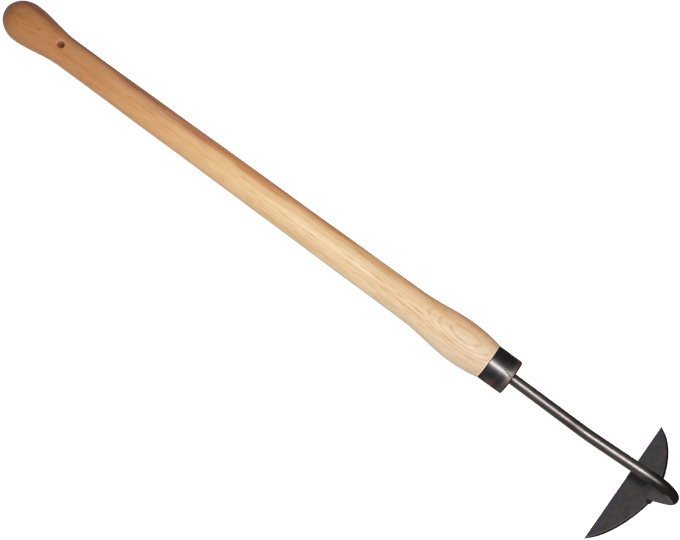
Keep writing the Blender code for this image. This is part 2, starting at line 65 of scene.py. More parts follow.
mounts = {mount["name"]: mount for mount in frame["record"]["mounts"]}
tool_x = np.array(mounts["ferrule_front"]["axis"])
tool_y = np.array([0.0, 1.0, 0.0])
tool_z = np.array([-tool_x[2], 0.0, tool_x[0]])
tool_axes = np.stack([tool_x, tool_y, tool_z])
tool_origin = (np.array(mounts["ferrule_front"]["pos_m"])
               - FERRULE_LENGTH * tool_x - MOUNT_HEIGHT * tool_z)
tool_tilt = math.atan2(tool_x[2], tool_x[0])


def to_world(points):
    """Move points from the tool's frame to the world: origin plus each share of an axis."""
    return tool_origin + points @ tool_axes


print(f"tilt {math.degrees(tool_tilt):.2f} degrees, shoulder at {tool_origin.round(4)}")

# %% [markdown]
# ## The camera
# The picture looks down on the hoe from a distance, turned a little about the handle so
# that the neck leans aside and shows the blade. A long lens keeps the handle's sides almost
# parallel. The handle slopes across the picture, so the camera is turned about its own view.
# It could track an empty, but a matrix from the tool's own axes says just what is seen.

# %% Place the camera
PICTURE_WIDTH = 680           # pixels
METRES_PER_PIXEL = 0.00088    # at the handle
VIEW_DISTANCE = 2.5
VIEW_ROLL = math.radians(12.0)     # about the handle's axis
VIEW_SLOPE = math.radians(36.2)    # of the handle across the picture
VIEW_ALONG = -0.15254         # middle of the picture, along the handle from the shoulder
VIEW_ACROSS = -0.01237        # and across it
VIEW_LIMIT = 20.0             # the camera sees this far
SENSOR_WIDTH = 36.0           # millimetres

view_back = np.array([0.0, -math.sin(VIEW_ROLL), math.cos(VIEW_ROLL)])
view_across = np.array([0.0, math.cos(VIEW_ROLL), math.sin(VIEW_ROLL)])
view_along = np.array([1.0, 0.0, 0.0])


def studio_matrix(place, right, up, back):
    """World matrix of a thing that looks along minus back, from the tool's frame."""
    matrix = np.eye(4)
    matrix[:3, :3] = (np.stack([right, up, back]) @ tool_axes).T
    matrix[:3, 3] = to_world(place)
    return Matrix(matrix.tolist())


camera_data = bpy.data.cameras.new("camera")
camera_data.sensor_width = SENSOR_WIDTH
camera_data.sensor_fit = "HORIZONTAL"
camera_data.lens = SENSOR_WIDTH * VIEW_DISTANCE / (METRES_PER_PIXEL * PICTURE_WIDTH)
camera_data.clip_end = VIEW_LIMIT
camera = bpy.data.objects.new("camera", camera_data)
bpy.context.scene.collection.objects.link(camera)
camera.matrix_world = studio_matrix(
    VIEW_ALONG * view_along + VIEW_ACROSS * view_across + VIEW_DISTANCE * view_back,
    math.cos(VIEW_SLOPE) * view_along + math.sin(VIEW_SLOPE) * view_across,
    -math.sin(VIEW_SLOPE) * view_along + math.cos(VIEW_SLOPE) * view_across,
    view_back)
bpy.context.scene.camera = camera
print(f"lens {camera_data.lens:.1f} mm")

# %% [markdown]
# ## Helpers for surfaces
# A turned or forged surface is a grid of points: rings of equal count, one after another.
# The whole grid is worked out as one array, and the faces between rings follow from the
# point numbers alone. An open end is closed with a fan of triangles to one tip point. Curves
# and modifiers could make such shapes too, but a formula can be checked against its solid.

# %% Rings, loops and fans
def stacked(x, y, z):
    """Points from three arrays of coordinates, spread to the shape that they share."""
    return np.stack(np.broadcast_arrays(x, y, z), axis=-1)


def around(x, radius, angle):
    """Points of rings: a distance along the axis, a radius, and an angle round the axis."""
    return stacked(x, radius * np.cos(angle), radius * np.sin(angle))


def full_turn(sides):
    """So many angles, evenly spaced round a full turn."""
    return 2.0 * math.pi * np.arange(sides) / sides


def ease(t):
    """Rise from 0 to 1 with level ends: 3 t squared minus 2 t cubed."""
    t = np.clip(t, 0.0, 1.0)
    return t * t * (3.0 - 2.0 * t)


def superellipse(angle, power):
    """Cosine and sine of an angle, each pushed outwards by the superellipse's power."""
    cosine, sine = np.cos(angle), np.sin(angle)
    return (np.sign(cosine) * np.abs(cosine) ** (2.0 / power),
            np.sign(sine) * np.abs(sine) ** (2.0 / power))


def numbered(grid, first=0):
    """The number of each point of a grid, counted ring by ring from first."""
    rows, columns = grid.shape[:2]
    return first + np.arange(rows * columns).reshape(rows, columns)


def loop_faces(loops):
    """Quads between neighbouring closed loops, each given as its own point numbers."""
    beside = np.roll(loops, -1, axis=1)
    return np.stack([loops[:-1], beside[:-1], beside[1:], loops[1:]], axis=-1).reshape(-1, 4)


def fan_faces(ring, tip):
    """Triangles from each side of a closed ring of point numbers to one tip point."""
    return np.stack([ring, np.roll(ring, -1), np.full(len(ring), tip)], axis=1)


# %% [markdown]
# ### From points to a piece
# A piece rides on the hoe's one body and is shown in place of its solid. Four of the six are
# a strip of closed sections with a fan at either end, so that case gets a helper of its own.

# %% Pieces and closed strips
def make_piece(name, points, faces, material, node, values=None):
    """Build one closed piece in world metres and let it stand for a solid of the frame.

    The faces are turned to point outwards, and the volume that they enclose is printed.
    values holds one number for each point by name, for the finish to read.
    """
    mesh = bpy.data.meshes.new(name)
    mesh.from_pydata(to_world(points).tolist(), [],
                     [face for group in faces for face in group.tolist()])
    for label, numbers in (values or {}).items():
        layer = mesh.attributes.new(label, "FLOAT", "POINT")
        layer.data.foreach_set("value", np.ascontiguousarray(numbers, dtype=np.float32))
    shape = bmesh.new()
    shape.from_mesh(mesh)
    bmesh.ops.recalc_face_normals(shape, faces=shape.faces)
    volume = shape.calc_volume(signed=True)
    shape.to_mesh(mesh)
    shape.free()
    mesh.shade_smooth()
    mesh.materials.append(material)
    piece = bpy.data.objects.new(name, mesh)
    bpy.context.scene.collection.objects.link(piece)
    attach(piece, "root")
    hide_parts(node)
    print(f"{name}: {len(mesh.polygons)} faces, {volume * 1e6:.2f} cubic centimetres")


def make_strip(name, strip, material, node, values):
    """A piece from a strip of closed sections, with a fan over each end.

    Each fan's tip is the mean of its end section, and its values are the section's least.
    """
    numbers = numbered(strip)
    tips = strip[[0, -1]].mean(axis=1)
    faces = [loop_faces(numbers), fan_faces(numbers[0, ::-1], numbers.size),
             fan_faces(numbers[-1], numbers.size + 1)]
    values = {label: np.concatenate([value.ravel(), value[[0, -1]].min(axis=1)])
              for label, value in values.items()}
    make_piece(name, np.concatenate([strip.reshape(-1, 3), tips]), faces, material, node,
               values)


# %% [markdown]
# ## Helpers for finishes
# A finish is a tree of nodes, and a tree is easier to read as sums than as boxes and wires.
# So each output of a node is wrapped here as something that can be added and multiplied:
# writing a * b + c makes the nodes for it. An input that is given another node's output gets
# linked, and any other value is set on the socket itself.

# %% Outputs that can be added and multiplied
class Output:
    """A node's output. Arithmetic with it adds a Math node and gives that node's output."""

    def __init__(self, socket):
        self.socket, self.node, self.tree = socket, socket.node, socket.id_data

    def __add__(self, other):
        return reckon("ADD", self, other)

    def __sub__(self, other):
        return reckon("SUBTRACT", self, other)

    def __rsub__(self, other):
        return reckon("SUBTRACT", other, self)

    def __mul__(self, other):
        return reckon("MULTIPLY", self, other)

    def __truediv__(self, other):
        return reckon("DIVIDE", self, other)

    def __abs__(self):
        return reckon("ABSOLUTE", self)


def feed(node, inputs):
    """Link or set inputs of a node. A colour is given as three numbers."""
    for name, value in inputs.items():
        socket = node.inputs[name]
        if isinstance(value, Output):
            node.id_data.links.new(value.socket, socket)
        else:
            socket.default_value = (*value, 1.0) if socket.type == "RGBA" else value


def add(tree, kind, inputs, output=0, **settings):
    """Add a shader node, set its properties, feed its inputs and give one of its outputs."""
    node = tree.nodes.new("ShaderNode" + kind)
    for name, value in settings.items():
        setattr(node, name, value)
    feed(node, inputs)
    return Output(node.outputs[output])


def reckon(operation, *inputs):
    """One step of arithmetic with outputs and plain numbers."""
    tree = next(value.tree for value in inputs if isinstance(value, Output))
    return add(tree, "Math", dict(enumerate(inputs)), operation=operation)


# %% [markdown]
# ### Steps, mixes, noises and reliefs
# Nearly every mark on wood or steel is made of three things: a soft noise, a smooth step that
# picks part of it or part of the tool, and a mix that lays a colour there.

def between(value, low, high, to_low=0.0, to_high=1.0):
    """Smooth step: to_low at low and before it, to_high at high and past it."""
    return add(value.tree, "MapRange", {"Value": value, "From Min": low, "From Max": high,
                                        "To Min": to_low, "To Max": to_high},
               interpolation_type="SMOOTHSTEP")


def mix(share, first, second, blend="MIX"):
    """Mix two colours by a share."""
    tree = (share if isinstance(share, Output) else first).tree
    return add(tree, "Mix", {0: share, 6: first, 7: second}, 2, data_type="RGBA",
               blend_type=blend)


def vector(operation, first, second):
    """One step with two vectors. A distance or a dot product gives a number."""
    return add(first.tree, "VectorMath", {0: first, 1: second},
               int(operation in ("DISTANCE", "DOT_PRODUCT")), operation=operation)


def coordinates(place):
    """The three coordinates of a place."""
    return [Output(socket) for socket in add(place.tree, "SeparateXYZ", {0: place}).node.outputs]


def noise(place, stretch, detail=3.0, roughness=0.5):
    """Soft noise from 0 to 1 with so many waves a metre along each axis of the tool."""
    drawn_out = add(place.tree, "Mapping", {"Vector": place, "Scale": stretch})
    return add(place.tree, "TexNoise", {"Vector": drawn_out, "Scale": 1.0, "Detail": detail,
                                        "Roughness": roughness})


def colour_ramp(value, stops):
    """A ramp through colours at rising places from 0 to 1."""
    ramp = add(value.tree, "ValToRGB", {0: value})
    points = ramp.node.color_ramp.elements
    for number, (place, colour) in enumerate(stops):
        point = points[number] if number < 2 else points.new(place)
        point.position, point.color = place, (*colour, 1.0)
    return ramp


def bump(height, depth, under=None):
    """Turn a height from 0 to 1 into a relief so many metres deep, over an earlier relief."""
    inputs = {"Height": height, "Distance": depth, "Strength": 1.0}
    if under is not None:
        inputs["Normal"] = under
    return add(height.tree, "Bump", inputs)


# %% Begin and end a finish
def new_finish(name):
    """An empty finish: its material, and the place in the tool's frame for its patterns."""
    material = bpy.data.materials.new(name)
    material.use_nodes = True
    place = add(material.node_tree, "Mapping", {
        "Vector": add(material.node_tree, "TexCoord", {}, "Object"), "Location": tool_origin,
        "Rotation": (0.0, -tool_tilt, 0.0)}, vector_type="TEXTURE")
    return material, place


def reading(place, label):
    """A number that the piece carries at each of its points."""
    return add(place.tree, "Attribute", {}, "Fac", attribute_name=label)


def finished(material, inputs):
    """Feed a finish's shader, and print how many nodes the finish took."""
    feed(material.node_tree.nodes["Principled BSDF"], inputs)
    print("finish", material.name, len(material.node_tree.nodes), "nodes")
    return material


# %% [markdown]
# ## Ash under lacquer
# Ash is ring-porous: each year starts with a row of open pores, which shows as a brown
# line, and ends in dense pale wood. The tree's rings are wide cylinders round its pith, so
# where the lathe swells the handle the same rings come out as ovals and pointed arches. One
# distance, from the pith to the point, gives all of that: its fraction of a year's growth
# draws the line. A picture of wood would stretch over the swell, while a pattern in space is
# cut as the lathe cuts the wood.

# %% Growth rings
HANDLE_LENGTH = 0.5255
GROWTH_RING = 0.00155         # a year's growth
SPRING_SHARE = 0.40           # of a year's growth, over which its brown line fades out
WANDER_WAVES = (9.0, 34.0, 34.0)   # a metre, along the handle and across
PITH_DISTANCE = 0.0750        # from the handle's axis to the tree's middle
PITH_ANGLE = math.radians(9.0)     # which way it lies, from straight down
RING_WANDER = 0.0034          # how far the rings stray from true cylinders


def spring_wood(place):
    """1 where a year's wood begins, falling to 0 within its ring.

    The distance to the pith, divided by a year's growth, leaves a fraction: how far the year
    had come when this wood grew.
    """
    pith = (0.0, -PITH_DISTANCE * math.sin(PITH_ANGLE), -PITH_DISTANCE * math.cos(PITH_ANGLE))
    radius = vector("DISTANCE", vector("MULTIPLY", place, (0.0, 1.0, 1.0)), pith)
    radius = radius + noise(place, WANDER_WAVES, 2.0) * RING_WANDER
    return between(reckon("FRACT", radius / GROWTH_RING), 0.0, SPRING_SHARE, 1.0, 0.0)


def share_along(along):
    """Share of the way from the knob's end to the shoulder."""
    return along / HANDLE_LENGTH + 1.0


# %% [markdown]
# ### The wood's own colour, and painted shade on one flank
# Under the grain the colour changes slowly, from honey brown at the knob, as the oiled end of
# a used handle darkens, to pale cream at the ferrule. One flank was cut near the tree's
# heartwood and is reddish, with a golden band beside it. The reddish tint also carries painted
# shade: that flank is darkened as the side away from the light, bluish grey towards the knob.
# Both are steps of the distance across, and a noise makes their borders ragged.

# %% Honey, cream and heartwood
HONEY_TO_CREAM = (            # share of the way to the shoulder, and the colour there
    (0.00, (0.385, 0.168, 0.065)), (0.10, (0.425, 0.198, 0.082)),
    (0.20, (0.475, 0.233, 0.102)), (0.30, (0.555, 0.302, 0.137)),
    (0.45, (0.640, 0.425, 0.222)), (0.60, (0.665, 0.492, 0.297)),
    (0.80, (0.660, 0.522, 0.346)), (1.00, (0.650, 0.517, 0.386)))
GOLDEN_EDGE = (0.0020, 0.0100)     # across the handle, where the golden band rises
GOLDEN_FADE = (-0.36, -0.22)       # along it from the shoulder, where the band sets in
# The heartwood band also carries painted shade, bluish grey towards the knob.
HEART_SHADE_EDGE = (0.0125, 0.0205)      # across the handle, where the heartwood and its painted shade rise
HEART_SHADE_NEARER = 0.0040         # how much nearer the middle it lies on the knob's half
HEART_AND_SHADE_TINTS = ((0.64, 0.56, 0.74), (0.86, 0.60, 0.52), (1.0, 0.79, 0.68))    # knob to ferrule


def heartwood_and_flank_shade(along, across, patches):
    """Share of the reddish flank, and its tint: own colour and painted shade, bluish at the knob.
    """
    nearer = between(along, -0.30, -0.10, HEART_SHADE_NEARER, 0.0) * between(along, -0.47, -0.40)
    # The heartwood share also lays painted shade on the flank away from the light.
    heart_and_shade = between(patches * 0.014 + (across + nearer), *HEART_SHADE_EDGE)
    tint = mix(between(along, -0.40, -0.26), *HEART_AND_SHADE_TINTS[:2])
    tint = mix(between(along, -0.24, -0.12), tint, HEART_AND_SHADE_TINTS[2])
    return heart_and_shade * between(along, -0.16, -0.03, 1.0, 0.75), tint


def ash_ground(place, patches):
    """The ground colour: a blotched ramp, a golden band, a reddish flank with painted shade,
    streaks.
    """
    along, across, _ = coordinates(place)
    blotches = noise(place, (26.0, 55.0, 55.0), 3.0, 0.6) * 0.16 - 0.08
    base = colour_ramp(share_along(along) + blotches, HONEY_TO_CREAM)
    golden = between(patches * 0.008 + across, *GOLDEN_EDGE, 0.0, 0.9)
    golden = golden * between(along, *GOLDEN_FADE)
    base = mix(golden, base, (0.98, 0.90, 0.78), "MULTIPLY")
    # Reddish heartwood tint, with painted shade on the same flank.
    heart_and_shade, tint = heartwood_and_flank_shade(along, across, patches)
    base = mix(heart_and_shade, base, tint, "MULTIPLY")
    brushed = between(noise(place, (18.0, 260.0, 260.0), 3.0, 0.6), 0.48, 0.62)
    base = mix(brushed * between(heart_and_shade, 0.0, 0.6), base, (0.88, 0.74, 0.62), "MULTIPLY")
    streaks = noise(place, (7.0, 130.0, 130.0), 3.0, 0.55)
    return mix(between(streaks, 0.45, 0.75), base, (0.93, 0.82, 0.68), "MULTIPLY")


# %% [markdown]
# ### The grain
# Four noises, drawn out along the handle, stand for what the lathe cut open: fibres, pores,
# small tan patches and bright flecks. Pores could be dug into the mesh, but they are finer
# than its faces, so a colour and a relief stand for them. The rings show most on one flank
# and towards the ferrule, where the wood is pale.

# %% Rings, fibres, flecks and pores
FLANK = (0.0070, -0.0040)     # across the handle, towards the flank with the clearer rings
FIGURE_RISE = (-0.32, -0.06)  # along it, where the rings grow clear
PORE_WAVES = (70.0, 760.0, 760.0)
FIBRE_WAVES = (16.0, 900.0, 900.0)
FLECK_WAVES = (150.0, 900.0, 900.0)


def ash_grain(place, base, patches):
    """Lay the grain over a colour. With it come the pores and fibres, for the relief."""
    along, across, _ = coordinates(place)
    spring = spring_wood(place)
    flank = between(across, *FLANK)
    pore_noise = noise(place, PORE_WAVES, 3.0, 0.65)
    pores = between(pore_noise, 0.52, 0.62) * (spring * 0.6 + 0.4)
    fibres = noise(place, FIBRE_WAVES, 4.0, 0.65)
    flecks = noise(place, FLECK_WAVES, 2.0, 0.5)

    brown = mix(1.0, base, (0.75, 0.61, 0.47), "MULTIPLY")
    figure = between(along, *FIGURE_RISE, 0.12, 0.95) * (flank * 0.75 + 0.22)
    rows = spring * between(pore_noise, 0.38, 0.56, 0.20, 1.0)
    base = mix(rows * figure, base, brown)
    base = mix(between(fibres, 0.35, 0.75, 0.0, 0.30), base, brown)
    tan = between(patches, 0.52, 0.62) * between(along, -0.30, -0.10, 0.15, 0.40)
    base = mix(tan, base, (0.90, 0.78, 0.62), "MULTIPLY")
    shine = between(flecks, 0.60, 0.72) * between(share_along(along), 0.12, 0.35, 0.0, 0.09)
    base = mix(shine, base, (0.95, 0.85, 0.65), "SCREEN")
    base = mix(pores * (flank * 0.40 + 0.18), base, (0.70, 0.60, 0.50), "MULTIPLY")
    return base, pores, fibres


# %% [markdown]
# ### The bore's wall and the lacquer
# The drill for the hanging hole leant a little and came out through a narrower mouth. Its
# bare wall is red-brown, with painted shade that darkens it deeper down the hole. The lacquer
# is the shader's own clear coat, which needs no second surface. It grows towards the ferrule
# and at grazing angles, and stops at the hole.

# %% The handle's finish
HOLE_FROM_END = 0.0590        # the knob's end to the middle of the hanging hole
HOLE_RADIUS = 0.0037
EXIT_RADIUS = 0.0031          # of the hole at its lower mouth, where the drill came out
EXIT_ASIDE = -0.0014          # the lower mouth's place across the handle, as the drill leant
BORE_HALF = 0.0140            # half the length of the hole, from the axis to either mouth
HOLE_STAIN = 0.0006           # how far the wall's colour creeps out over the mouth
PATCH_WAVES = (15.0, 95.0, 95.0)
PORE_DEPTH = 0.00008          # of the relief, as are the next two
FIBRE_DEPTH = 0.00003
FILM_DEPTH = 0.00010


def bore_distance(place):
    """Distance from the hanging hole's axis, which moves aside in proportion to the depth."""
    along, across, up = coordinates(place)
    lean = (1.0 - up / BORE_HALF) * (0.5 * EXIT_ASIDE)
    level = add(place.tree, "CombineXYZ", {0: along, 1: across - lean})
    return vector("DISTANCE", level, (HOLE_FROM_END - HANDLE_LENGTH, 0.0, 0.0))


def ash_finish():
    """Lacquered ash: grain, flank colour with painted shade, a cut end, a bore wall with painted
    shade, a coat.
    """
    material, place = new_finish("lacquered_ash")
    along, _, up = coordinates(place)
    patches = noise(place, PATCH_WAVES, 2.0, 0.55)
    base, pores, fibres = ash_grain(place, ash_ground(place, patches), patches)
    cut_end = between(along, -0.0010, -0.0003)
    base = mix(cut_end, base, (0.90, 0.78, 0.66))
    inside = between(bore_distance(place), HOLE_RADIUS, HOLE_RADIUS + HOLE_STAIN, 1.0, 0.0)
    # The bore's red-brown wall, with painted shade that darkens it deeper down the hole.
    wall = mix(between(up, 0.0040, 0.0145), (0.64, 0.31, 0.13), (0.80, 0.46, 0.25))
    base = mix(inside, base, wall)

    relief = bump(1.0 - pores, PORE_DEPTH, bump(fibres, FIBRE_DEPTH))
    film = bump(noise(place, (40.0, 160.0, 160.0), 2.0), FILM_DEPTH)
    lacquer = between(share_along(along), 0.10, 0.65)
    grazing = add(place.tree, "LayerWeight", {"Blend": 0.5}, "Facing")
    coat = lacquer * 0.15 + between(grazing, 0.25, 0.75, 0.01, 0.70)
    coat = coat + between(grazing, 0.80, 0.95, 0.0, 0.15)
    return finished(material, {
        "Base Color": base, "Roughness": between(fibres, 0.2, 0.8, 0.45, 0.60),
        "Specular IOR Level": lacquer * 0.07 + 0.05, "Normal": relief,
        "Coat Weight": coat * (1.0 - inside), "Coat Roughness": 0.33, "Coat IOR": 1.5,
        "Coat Normal": film})


ash = ash_finish()

# %% [markdown]
# ## The turned handle
# A lathe makes it, so its surface is one profile carried round the axis. The hanging hole
# is drilled across it. A boolean cut would leave long thin faces round the mouth, so the
# hole is part of the surface here: a window is left open in the grid, top and bottom, and
# a patch of rings runs from the window's border to the round mouth, over its eased edge and
# down the bore.

# %% The handle's profile
KNOB_RADIUS = 0.0187
KNOB_CROWN = 0.0222           # length of the rounded end
GRIP_RADIUS = 0.01365
GRIP_START = 0.0665
GRIP_END = 0.0950
SHAFT_RADIUS = 0.01605
SWELL_RADIUS = 0.02035
SWELL_FOOT = 0.0830           # from the shoulder, as is the swell's peak
SWELL_PEAK = 0.0300
SHOULDER_RADIUS = 0.0174
SANDING = 0.00006             # how much a hand-sanded surface strays from the lathe's
SANDING_WAVES = (0.0137, 0.0610, 0.0291)     # how far apart its waves lie
SANDING_FADES = (0.03, 0.01)  # over how long a way they fade at the knob and the shoulder


def handle_profile(x):
    """Radius at a distance x from the knob's end.

    An ellipse rounds the knob, an ease runs down to the grip, a straight taper makes the
    shaft, another ease the swell, and a parabola falls from the swell to the shoulder.
    """
    foot, peak = HANDLE_LENGTH - SWELL_FOOT, HANDLE_LENGTH - SWELL_PEAK
    crown = KNOB_RADIUS * np.sqrt(np.clip(1.0 - (1.0 - x / KNOB_CROWN) ** 2, 0.0, 1.0))
    neck = KNOB_RADIUS + (GRIP_RADIUS - KNOB_RADIUS) * ease(
        (x - KNOB_CROWN) / (GRIP_START - KNOB_CROWN))
    shaft = GRIP_RADIUS + (SHAFT_RADIUS - GRIP_RADIUS) * np.clip(
        (x - GRIP_END) / (foot - GRIP_END), 0.0, 1.0)
    swell = shaft + (SWELL_RADIUS - SHAFT_RADIUS) * ease((x - foot) / (peak - foot))
    fall = SWELL_RADIUS - (SWELL_RADIUS - SHOULDER_RADIUS) * ((x - peak) / SWELL_PEAK) ** 2
    return np.select([x < KNOB_CROWN, x < GRIP_START, x < peak], [crown, neck, swell], fall)


def turned_surface(x, angle):
    """Points at distances x from the knob's end and angles round the axis.

    The radius is the profile plus a faint ripple, a product of slow sines and one more sine,
    that fades out at the knob's end and at the shoulder.
    """
    short, slow, wound = SANDING_WAVES
    ripple = (np.sin(x / short + 1.7 * np.sin(angle)) * np.cos(2.0 * angle + x / slow)
              + np.sin(x / wound - angle))
    fade = ease(x / SANDING_FADES[0]) * ease((HANDLE_LENGTH - x) / SANDING_FADES[1])
    return around(x - HANDLE_LENGTH, handle_profile(x) + SANDING * ripple * fade, angle)


print(f"swell {2e3 * handle_profile(np.array([HANDLE_LENGTH - SWELL_PEAK]))[0]:.1f} mm across")

# %% [markdown]
# ### Rings of the handle
# The rings lie closer together at the rounded knob. Round the hole they are evenly spaced,
# so that the window's border has the same number of points as the patch. Past the shoulder
# the same rings go on inside: the tenon, then the tapered socket that holds the tang.

# %% Rings from the knob to the bottom of the socket
HANDLE_SIDES = 96
CROWN_RINGS = 34
CROWN_START = 0.02            # the first ring's angle from the knob's tip
NECK_RINGS = 26
SHAFT_RINGS = 330
EASE_RINGS = 6
HOLE_EASE = 0.0009
WINDOW_CELLS = 16             # along and round
WINDOW_HALF_LENGTH = 0.0080
SHOULDER_EASE = 0.0005
TENON_RADIUS = 0.0152
TENON_LENGTH = 0.0232
TENON_CHAMFER = 0.0008
NECK_RADIUS = 0.0052
TANG_LENGTH = 0.0950
TANG_ROOT = 0.0040            # half its thickness by the neck, and at its tip
TANG_TIP = 0.0021
TANG_CHANGE = 0.0070          # length over which the round bar becomes the square tang
TANG_SQUARENESS = 5.0
SOCKET_GAP = 0.0003
SOCKET_DEPTH = 0.0970
SOCKET_RINGS = np.array([0.0, 0.0040, TANG_CHANGE, SOCKET_DEPTH - 0.0020, SOCKET_DEPTH])


def handle_stations():
    """Distances from the knob's end, and the number of the first ring of the window."""
    crown = KNOB_CROWN * (1.0 - np.cos(np.linspace(CROWN_START, math.pi / 2.0, CROWN_RINGS)))
    window = HOLE_FROM_END + np.linspace(-WINDOW_HALF_LENGTH, WINDOW_HALF_LENGTH,
                                         WINDOW_CELLS + 1)
    before = np.linspace(crown[-1], window[0], NECK_RINGS)[1:-1]
    after = np.linspace(window[-1], HANDLE_LENGTH - SHOULDER_EASE, SHAFT_RINGS)[1:]
    return np.concatenate([crown, before, window, after]), len(crown) + len(before)


def hidden_rings(angle):
    """Eased shoulder, its flat face, the tenon and the tapered square socket, ring by ring."""
    turn = np.linspace(0.0, math.pi / 2.0, EASE_RINGS + 1)[1:]
    x = np.concatenate([-SHOULDER_EASE * (1.0 - np.sin(turn)),
                        [0.0, TENON_LENGTH - TENON_CHAMFER, TENON_LENGTH]])
    radius = np.concatenate([SHOULDER_RADIUS - SHOULDER_EASE * (1.0 - np.cos(turn)),
                             [TENON_RADIUS, TENON_RADIUS, TENON_RADIUS - TENON_CHAMFER]])
    depth = SOCKET_RINGS[:, None]
    square = ease(depth / TANG_CHANGE)
    tip = np.clip((FERRULE_LENGTH - TENON_LENGTH + depth) / TANG_LENGTH, 0.0, 1.0)
    half = SOCKET_GAP + (1.0 - square) * NECK_RADIUS + square * (
        TANG_ROOT + (TANG_TIP - TANG_ROOT) * tip)
    cosine, sine = superellipse(angle, 2.0 + (TANG_SQUARENESS - 2.0) * square)
    return np.concatenate([around(x[:, None], radius[:, None], angle),
                           stacked(TENON_LENGTH - depth, half * cosine, half * sine)])


stations, window_ring = handle_stations()
skin = np.concatenate([turned_surface(stations[:, None], full_turn(HANDLE_SIDES)),
                       hidden_rings(full_turn(HANDLE_SIDES))])
print(f"{len(skin)} rings of {HANDLE_SIDES} points")

# %% [markdown]
# ### The drilled hole
# The patch is worked out in two flat numbers: the distance along the handle and the arc
# round it. A straight mix from the window's border to the mouth's circle gives its rings,
# and the turned surface then lifts them to their places. The lower mouth is narrower than
# the top one and stands a little aside.

# %% Patches round the hanging hole's mouths
PATCH_RINGS = 12
PATCH_SPACING = 0.85          # below 1 the rings lie closer together towards the mouth
MOUTH_RINGS = 7
BORE_RINGS = 16


def window_border():
    """Ring and side numbers of the border of a window of cells, in order round it."""
    cells = np.arange(WINDOW_CELLS)
    ring = np.concatenate([0 * cells, cells, 0 * cells + WINDOW_CELLS, WINDOW_CELLS - cells])
    side = np.concatenate([cells, 0 * cells + WINDOW_CELLS, WINDOW_CELLS - cells, 0 * cells])
    return ring, side


def hole_patch(ring, side, upward, radius, aside):
    """Rings of points from the window's border to the start of the bore.

    upward is 1 for the mouth on top and -1 for the one below, and aside is the mouth's place
    across the handle. The border's directions from its middle are kept round the mouth.
    """
    girth = handle_profile(np.array(HOLE_FROM_END))
    x = stations[window_ring + ring] - HOLE_FROM_END
    arc = girth * 2.0 * math.pi / HANDLE_SIDES * (side - WINDOW_CELLS / 2.0)
    direction = np.arctan2(arc, x)
    mouth = radius + HOLE_EASE
    share = np.linspace(0.0, 1.0, PATCH_RINGS + 1)[1:, None] ** PATCH_SPACING
    along = HOLE_FROM_END + x + share * (mouth * np.cos(direction) - x)
    reach = arc + share * (mouth * np.sin(direction) - upward * aside - arc)
    patch = turned_surface(along, upward * math.pi / 2.0 + reach / girth)
    turn = np.linspace(0.0, math.pi / 2.0, MOUTH_RINGS + 1)[1:, None]
    shrink = (radius + HOLE_EASE * (1.0 - np.sin(turn))) / mouth
    centre = HOLE_FROM_END - HANDLE_LENGTH
    last = patch[-1]
    eased = stacked(centre + shrink * (last[:, 0] - centre), aside + shrink * (last[:, 1] - aside),
                    last[:, 2] - upward * HOLE_EASE * (1.0 - np.cos(turn)))
    return np.concatenate([patch, eased])


ring, side = window_border()
top = hole_patch(ring, side, 1.0, HOLE_RADIUS, 0.0)
bottom = hole_patch(ring, side, -1.0, EXIT_RADIUS, EXIT_ASIDE)
print(f"mouths {2e3 * HOLE_RADIUS:.1f} and {2e3 * EXIT_RADIUS:.1f} mm across")

# %% Sew the handle together
def sew_handle():
    """One closed mesh: skin without its two windows, patches, bore, knob tip, socket bottom."""
    numbers = numbered(skin)
    quads = loop_faces(numbers).reshape(-1, HANDLE_SIDES, 4)
    keep = np.ones(quads.shape[:2], bool)
    faces, mouths, count = [], [], numbers.size
    for patch, middle in ((top, HANDLE_SIDES // 4), (bottom, 3 * HANDLE_SIDES // 4)):
        start = middle - WINDOW_CELLS // 2
        keep[window_ring:window_ring + WINDOW_CELLS, start:start + WINDOW_CELLS] = False
        loops = numbered(patch, count)
        faces.append(loop_faces(np.vstack([numbers[window_ring + ring, start + side], loops])))
        mouths.append(loops[-1])
        count += loops.size
    # The lower border runs the other way seen from above, so its points are matched by place.
    upper, lower = top[-1], bottom[-1]
    match = np.argmin(np.hypot(upper[:, None, 0] - lower[:, 0],
                               upper[:, None, 1] - lower[:, 1] + EXIT_ASIDE), axis=1)
    share = np.linspace(0.0, 1.0, BORE_RINGS + 2)[1:-1, None, None]
    bore = upper + share * (lower[match] - upper)
    loops = numbered(bore, count)
    faces.append(loop_faces(np.vstack([mouths[0], loops, mouths[1][match]])))
    count += loops.size
    tips = np.array([[-HANDLE_LENGTH, 0.0, 0.0], [TENON_LENGTH - SOCKET_DEPTH, 0.0, 0.0]])
    faces += [fan_faces(numbers[0, ::-1], count), fan_faces(numbers[-1], count + 1), quads[keep]]
    return np.concatenate([grid.reshape(-1, 3) for grid in (skin, top, bottom, bore, tips)]), faces


points, faces = sew_handle()
make_piece("turned_handle", points, faces, ash, "handle")

# %% [markdown]
# ## Blackened steel
# The ferrule is drawn from sheet and blackened in hot oil. Its reflection is dark and satin,
# with a streak where it mirrors the lamp. Handling wears the front rim to a brown patina, a
# patch on one side has rusted, and one scratch runs across the streak. Both lips carry
# painted shade, nearly black: at the back where the ferrule meets the wood, and on the front
# corner. The roughness carries fine lines round the axis, left by polishing on a lathe. The
# scratch could be cut into the mesh, but it is so narrow that a dark line does as well.

# %% The ferrule's finish
SCRATCH_START = np.array([0.0151, -0.0009, 0.0170])
SCRATCH_END = np.array([0.0232, -0.0033, 0.0167])
SCRATCH_WIDTH = 0.00022
RUST_PLACE = 0.0110           # distance of the brown patch from the shoulder
